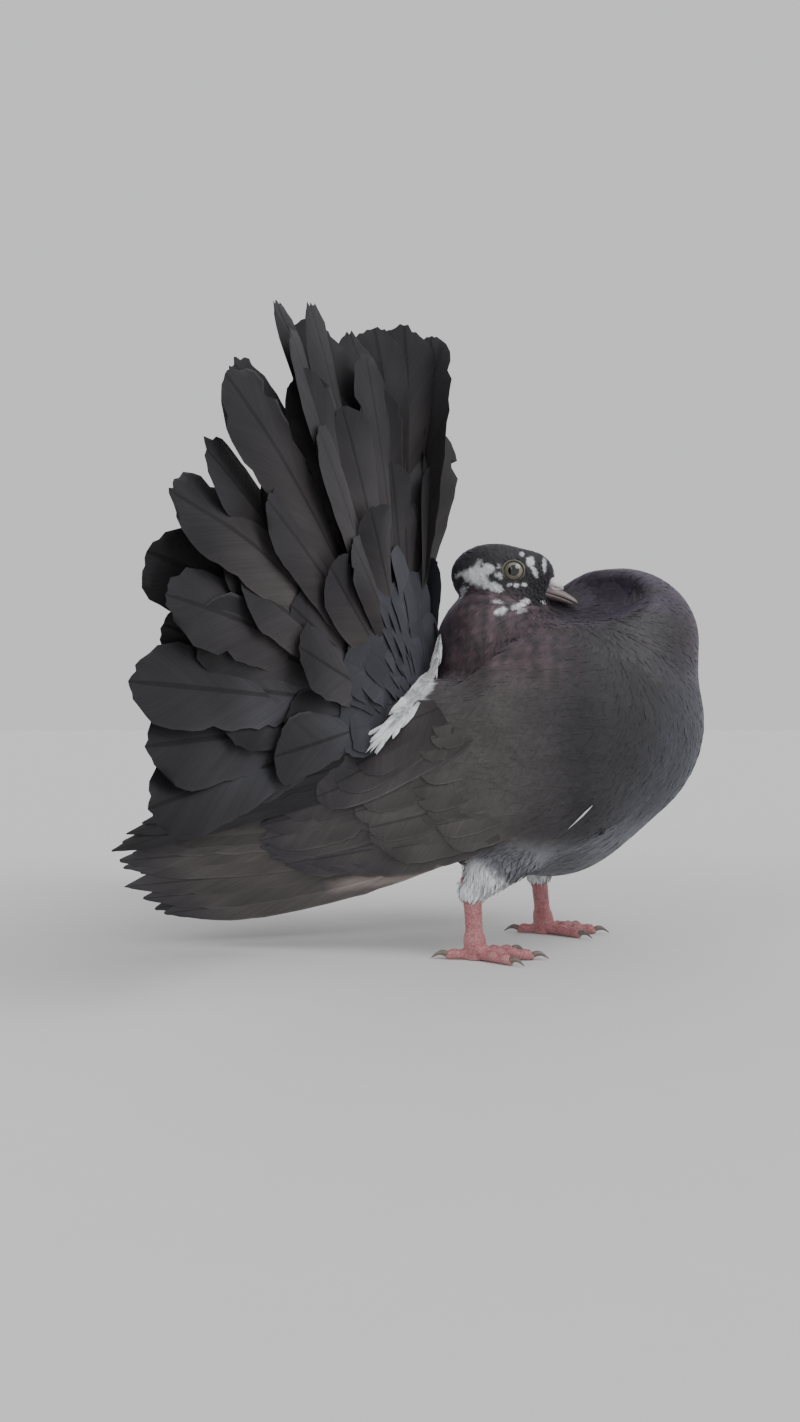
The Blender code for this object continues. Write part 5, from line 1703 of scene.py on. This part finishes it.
class PIGEON_OT_bill(bpy.types.Operator):
    """Makes both halves of the bill and the chalky cere over the nostrils"""

    bl_idname = "pigeon.bill"
    bl_label = "Bill and cere"

    def execute(self, context):
        horn = bill_material()
        for name, upper in (("upper", True), ("lower", False)):
            half = self.mandible("bill_horn_" + name, upper)
            half.data.materials.append(horn)
            finish_piece(from_head(half), "bill", "bill_" + name)
        cere = self.cere()
        cere.data.materials.append(cere_material())
        finish_piece(from_head(cere), "cere", "cere")
        return {"FINISHED"}

    def mandible(self, name, upper):
        """Rings along the bill that end in a blunt, bent tip."""
        steps, sides = 22, 20
        rings = []
        tip = BILL_TIP_X if upper else BILL_TIP_X - 0.0014
        height = 0.0036 if upper else 0.0021
        sign = 1 if upper else -1
        for step in range(steps + 1):
            share = (step / steps) ** 0.9
            x = BILL_ROOT_X + (tip - BILL_ROOT_X) * share
            taper = math.sqrt(max(1 - share**2.4, 0.0)) * (1 - 0.30 * share) + 0.03
            droop = 0.0016 * share + 0.0012 * share**3
            width = 0.0037 * taper
            tall = height * (taper * 0.92 + 0.06)
            seam = GAPE_HEIGHT - droop + sign * 0.00016
            points = []
            for k in range(sides):
                a = 2 * math.pi * k / sides
                c, s = math.cos(a), math.sin(a)
                rise = tall * s ** 0.9 if s > 0 else -0.00045 * taper * abs(s) ** 0.5
                under = 0 if s > 0 else 0.25 * sign * rise
                out = width * math.copysign(abs(c) ** 0.85, c)
                points.append(Vector((x, out, seam + sign * max(rise, 0.0) + under)))
            rings.append(points)
        return ring_mesh(name, rings)

    def cere(self):
        """Two soft lobes over the root of the bill, with a slit of a nostril under each."""
        bpy.ops.object.select_all(action="DESELECT")
        bpy.ops.mesh.primitive_uv_sphere_add(segments=40, ring_count=26, radius=1.0, location=(0, 0, 0))
        cere = bpy.context.view_layer.objects.active
        cere.name = cere.data.name = "cere_lobes"
        for vert in cere.data.vertices:
            x, y, z = vert.co
            lobe = abs(y)
            crease = 0.30 * math.exp(-((y / 0.16) ** 2)) * max(z + 0.4, 0.0)
            side = math.copysign(lobe**0.8, y) * 0.0043
            slit = 0.24 * math.exp(-(((z + 0.45) / 0.14) ** 2) - ((x - 0.35) / 0.5) ** 2)
            slit = slit * smooth(0.35, 0.7, lobe)
            scale = 1 - slit
            tall = 0.0030 * (1 - 0.35 * max(x, 0.0)) * (1 - crease)
            place = Vector((x * 0.0036 * scale, side * scale * (1 - 0.25 * max(x, 0.0)), z * tall * scale))
            place.z -= 0.0007 * x
            vert.co = place + Vector((0.0174, 0.0, -0.0022))
        cere.data.shade_smooth()
        return cere


# Legs


def leg_material():
    made, tree, shader = new_material("scaly_legs", roughness=0.48, subsurface_weight=0.08)
    shader.inputs["Subsurface Radius"].default_value = (0.0012, 0.0005, 0.0004)
    shader.inputs["Subsurface Scale"].default_value = 1.0
    place = own_place(tree)
    edges = {"feature": "DISTANCE_TO_EDGE"}
    cells = put(tree, "ShaderNodeTexVoronoi", edges, {"Vector": place, "Scale": 820.0}).outputs["Distance"]
    tone = noise(tree, place, 300.0, 4.0)
    groove = ranged(tree, cells, 0.02, 0.12, 0.62, 1.0)
    level = calc(tree, "MULTIPLY", groove, calc(tree, "MULTIPLY_ADD", tone, 0.5, 0.75))
    shade(tree, shader, own_tint(tree), level)
    roughen(tree, shader, 0.5, 0.0003, groove)
    return made


def claw_material():
    made, tree, shader = new_material("horn_claw", roughness=0.30)
    tone = noise(tree, own_place(tree), 420.0, 3.0)
    colour = mix_colours(tree, tone, (0.075, 0.060, 0.055, 1), (0.24, 0.19, 0.16, 1))
    tree.links.new(colour, shader.inputs["Base Color"])
    return made


# Name, bearing in degrees, length and radius
TOES = (
    ("middle", 0, 0.0225, 0.0029),
    ("inner", 38, 0.0175, 0.0026),
    ("outer", -36, 0.0185, 0.0026),
    ("hind", 176, 0.0110, 0.0025),
)
FOOT_HEADING = math.radians(-4)
CLAW_LENGTH = 0.0058
LEG_VOXEL = 0.00033


def tube_arrays(centres, aheads, half_sizes, sides, relief):
    """Rings round a line. half_sizes are (sideways, up, down), and relief is a function of ring and angle."""
    rings = []
    for index, (centre, ahead, (wide, up, down)) in enumerate(zip(centres, aheads, half_sizes)):
        side = Vector((-ahead.y, ahead.x, 0)).normalized()
        top = ahead.cross(side).normalized()
        top = top if top.z > 0 or abs(ahead.z) > 0.7 else -top
        points = []
        for k in range(sides):
            a = 2 * math.pi * k / sides
            more = relief(index, a)
            tall = up if math.sin(a) > 0 else down
            points.append(centre + side * math.cos(a) * (wide + more) + top * math.sin(a) * (tall + more))
        rings.append(points)
    return rings


class PIGEON_OT_legs(bpy.types.Operator):
    """Makes the scaly shanks, the toes and the claws"""

    bl_idname = "pigeon.legs"
    bl_label = "Legs and feet"

    def execute(self, context):
        scaly, horn = leg_material(), claw_material()
        for name, side in SIDES.items():
            shank = self.shank("leg_" + name, HOCKS[name], ANKLES[name])
            toes = [self.toe("toe", ANKLES[name], side, *toe[1:]) for toe in TOES]
            bpy.ops.object.select_all(action="DESELECT")
            for piece in (shank, *toes):
                piece.select_set(True)
            context.view_layer.objects.active = shank
            bpy.ops.object.join()
            even = shank.modifiers.new("even", "REMESH")
            even.mode = "VOXEL"
            even.voxel_size = LEG_VOXEL
            bpy.ops.object.modifier_apply(modifier=even.name)
            relax = shank.modifiers.new("relax", "SMOOTH")
            relax.factor = 0.5
            relax.iterations = 2
            bpy.ops.object.modifier_apply(modifier=relax.name)
            for vert in shank.data.vertices:
                vert.co.z = max(vert.co.z, 0.0)
            points = np.array([v.co for v in shank.data.vertices])
            red = np.array((0.42, 0.150, 0.160))
            pale = np.array((0.55, 0.30, 0.29))
            tone = 0.5 + 0.5 * ripple(points, 0.006, 21)
            paleness = 0.35 * tone + 0.35 * smooth(0.0022, 0.0, points[:, 2])
            colour = mixed(np.zeros(points.shape) + red, pale, paleness)
            paint(shank.data, colour)
            shank.data.materials.append(scaly)
            shank.data.shade_smooth()
            finish_piece(shank, "leg_skin", "shank_" + name, "foot_" + name)
            for toe in TOES:
                claw = self.claw(f"claw_horn_{name}_{toe[0]}", ANKLES[name], side, toe[1], toe[2])
                claw.data.materials.append(horn)
                finish_piece(claw, "claw", f"claw_{name}_{toe[0]}")
        return {"FINISHED"}

    def shank(self, name, hock, ankle):
        """The tarsus: broad overlapping plates in front, small scales behind."""
        steps, sides = 64, 28
        top = hock + (hock - ankle) * 0.25
        way = ankle - top
        centres, sizes = [], []
        for i in range(steps + 1):
            share = i / steps
            centres.append(top + way * share)
            size = 0.0030 * (1 + 0.22 * (1 - share) ** 3 + 0.30 * smooth(0.80, 1.0, share))
            sizes.append((size, size * 1.12))

        def relief(index, angle):
            facing = math.sin(angle)
            plate = (index % 6) / 6.0
            return 0.00022 * (plate - 0.5) * max(abs(facing), 0.25)

        angles = [2 * math.pi * k / sides for k in range(sides)]
        rings = []
        for index, (centre, (wide, deep)) in enumerate(zip(centres, sizes)):
            points = []
            for a in angles:
                more = relief(index, a)
                points.append(centre + Vector((math.sin(a) * (deep + more), math.cos(a) * (wide + more), 0)))
            rings.append(points)
        for deep, wide, drop in ((0.0040, 0.0036, 0.0040), (0.0036, 0.0034, 0.0068)):
            rings.append([ankle + Vector((math.sin(a) * deep, math.cos(a) * wide, -drop)) for a in angles])
        return ring_mesh(name, rings)

    def toe_line(self, ankle, side, degrees):
        bearing = FOOT_HEADING + side * math.radians(degrees)
        return Vector((math.cos(bearing), math.sin(bearing), 0)), Vector((ankle.x, ankle.y, 0))

    def toe(self, name, ankle, side, degrees, length, radius):
        """A toe with plates on top and swollen pads under its joints."""
        ahead, foot = self.toe_line(ankle, side, degrees)
        steps = 46
        joints = 2 if length < 0.012 else (3 if length < 0.020 else 4)
        centres, sizes = [], []
        for i in range(steps + 1):
            share = i / steps
            pad = 0.5 - 0.5 * math.cos(2 * math.pi * share * joints)
            size = radius * (1 - 0.30 * share) * (0.90 + 0.16 * pad)
            if share > 0.93:
                size *= 1 - 0.35 * (share - 0.93) / 0.07
            height = np.interp(share, (0, 0.25, 0.5, 0.76, 1.0), (0.0052, 0.0036, 0.0026, 0.0023, 0.0018))
            height = min(height, size * (1.02 if share > 0.2 else 9))
            centres.append(foot + ahead * length * share + Vector((0, 0, height)))
            sizes.append((size * 0.94, size * 0.96, max(size * 0.92, height * 0.9)))

        def relief(index, angle):
            up = math.sin(angle)
            if up <= 0.1:
                return 0.0
            return 0.00020 * ((index % 4) / 4.0 - 0.4) * up

        return ring_mesh(name, tube_arrays(centres, [ahead] * len(centres), sizes, 20, relief))

    def claw(self, name, ankle, side, degrees, length):
        """A claw that curves down to just over the floor."""
        ahead, foot = self.toe_line(ankle, side, degrees)
        start = foot + ahead * (length - 0.0006)
        rings = []
        for i in range(19):
            share = i / 18
            size = 0.00128 * (1 - share) ** 0.72 + 0.00006
            rise = 0.0019 + 0.0009 * math.sin(math.pi * min(share * 1.1, 1)) - 0.0012 * share**2
            centre = start + ahead * (CLAW_LENGTH + 0.0006) * share
            centre.z = max(rise, size + 0.0002)
            rings.append((centre, size))
        built = tube_arrays(
            [centre for centre, _ in rings],
            [ahead] * len(rings),
            [(size * 0.82, size, size) for _, size in rings],
            16,
            lambda index, angle: 0.0,
        )
        return ring_mesh(name, built)


# Stage


class PigeonStage(bpy.types.PropertyGroup):
    lens: bpy.props.FloatProperty(name="Lens", description="Focal length in millimetres", default=28.0)
    key: bpy.props.FloatProperty(name="Main light", description="Strength of the main light", default=1.5)
    fill: bpy.props.FloatProperty(name="Side light", description="Strength of the side light", default=0.7)
    sky: bpy.props.FloatProperty(
        name="Surroundings", description="Strength of the pale surroundings", default=0.95
    )
    floor: bpy.props.FloatVectorProperty(
        name="Floor", description="Colour of the floor", subtype="COLOR", default=(0.705, 0.70, 0.695)
    )


def soft_light(name, way, strength):
    """A broad even light that comes from this way."""
    data = bpy.data.lights.new(name, "SUN")
    data.angle = math.radians(40)
    data.energy = strength
    light = bpy.data.objects.new(name, data)
    light.location = Vector(way)
    light.rotation_mode = "QUATERNION"
    light.rotation_quaternion = Vector(way).to_track_quat("Z", "Y")
    bpy.context.scene.collection.objects.link(light)


class PIGEON_OT_stage(bpy.types.Operator):
    """Sets the floor, the soft lights, the pale surroundings and the camera"""

    bl_idname = "pigeon.stage"
    bl_label = "Stage"

    def execute(self, context):
        settings = context.scene.pigeon_stage
        bpy.ops.object.select_all(action="DESELECT")
        bpy.ops.mesh.primitive_circle_add(vertices=96, radius=60.0, fill_type="NGON", location=(0, 0, 0))
        floor = context.view_layer.objects.active
        floor.name = floor.data.name = "floor"
        made, tree, shader = new_material("pale_floor", roughness=0.85)
        tone = noise(tree, own_place(tree), 60.0, 5.0)
        low = tuple(c * 0.97 for c in settings.floor)
        colour = mix_colours(tree, tone, (*low, 1), (*settings.floor, 1))
        tree.links.new(colour, shader.inputs["Base Color"])
        floor.data.materials.append(made)
        world = bpy.data.worlds.new("pale_surroundings")
        world.use_nodes = True
        background = world.node_tree.nodes["Background"]
        background.inputs["Color"].default_value = (0.80, 0.80, 0.82, 1)
        background.inputs["Strength"].default_value = settings.sky
        context.scene.world = world
        soft_light("main_light", (0.75, -0.70, 0.95), settings.key)
        soft_light("side_light", (-0.80, -0.60, 0.50), settings.fill)
        camera_data = bpy.data.cameras.new("camera")
        camera_data.lens = settings.lens
        camera_data.sensor_width = 36
        camera = bpy.data.objects.new("camera", camera_data)
        camera.location = OFFSET + Vector((-0.0325, -0.450, 0.088))
        camera.rotation_euler = (math.radians(90.9), 0, 0)
        context.scene.collection.objects.link(camera)
        context.scene.camera = camera
        return {"FINISHED"}


class PIGEON_PT_panel(bpy.types.Panel):
    """The pigeon's pieces and their settings"""

    bl_label = "Fantail Pigeon"
    bl_idname = "PIGEON_PT_panel"
    bl_space_type = "VIEW_3D"
    bl_region_type = "UI"
    bl_category = "Pigeon"

    def draw(self, context):
        for group in (context.scene.pigeon_colours, context.scene.pigeon_coat, context.scene.pigeon_stage):
            for name in group.__annotations__:
                self.layout.prop(group, name)
        for operator in OPERATORS:
            self.layout.operator(operator.bl_idname)


OPERATORS = (
    PIGEON_OT_stage,
    PIGEON_OT_skin,
    PIGEON_OT_head_coat,
    PIGEON_OT_body_coat,
    PIGEON_OT_wings,
    PIGEON_OT_tail,
    PIGEON_OT_scapulars,
    PIGEON_OT_eyes,
    PIGEON_OT_bill,
    PIGEON_OT_legs,
)
GROUPS = {"pigeon_colours": PigeonColours, "pigeon_coat": PigeonCoat, "pigeon_stage": PigeonStage}


def register():
    for made in (*GROUPS.values(), *OPERATORS, PIGEON_PT_panel):
        bpy.utils.register_class(made)
    for name, group in GROUPS.items():
        setattr(bpy.types.Scene, name, bpy.props.PointerProperty(type=group))


def unregister():
    for name in GROUPS:
        delattr(bpy.types.Scene, name)
    for made in (PIGEON_PT_panel, *reversed(OPERATORS), *reversed(list(GROUPS.values()))):
        bpy.utils.unregister_class(made)


def main():
    register()
    for operator in OPERATORS:
        group, name = operator.bl_idname.split(".")
        getattr(getattr(bpy.ops, group), name)()


if __name__ == "__main__":
    main()
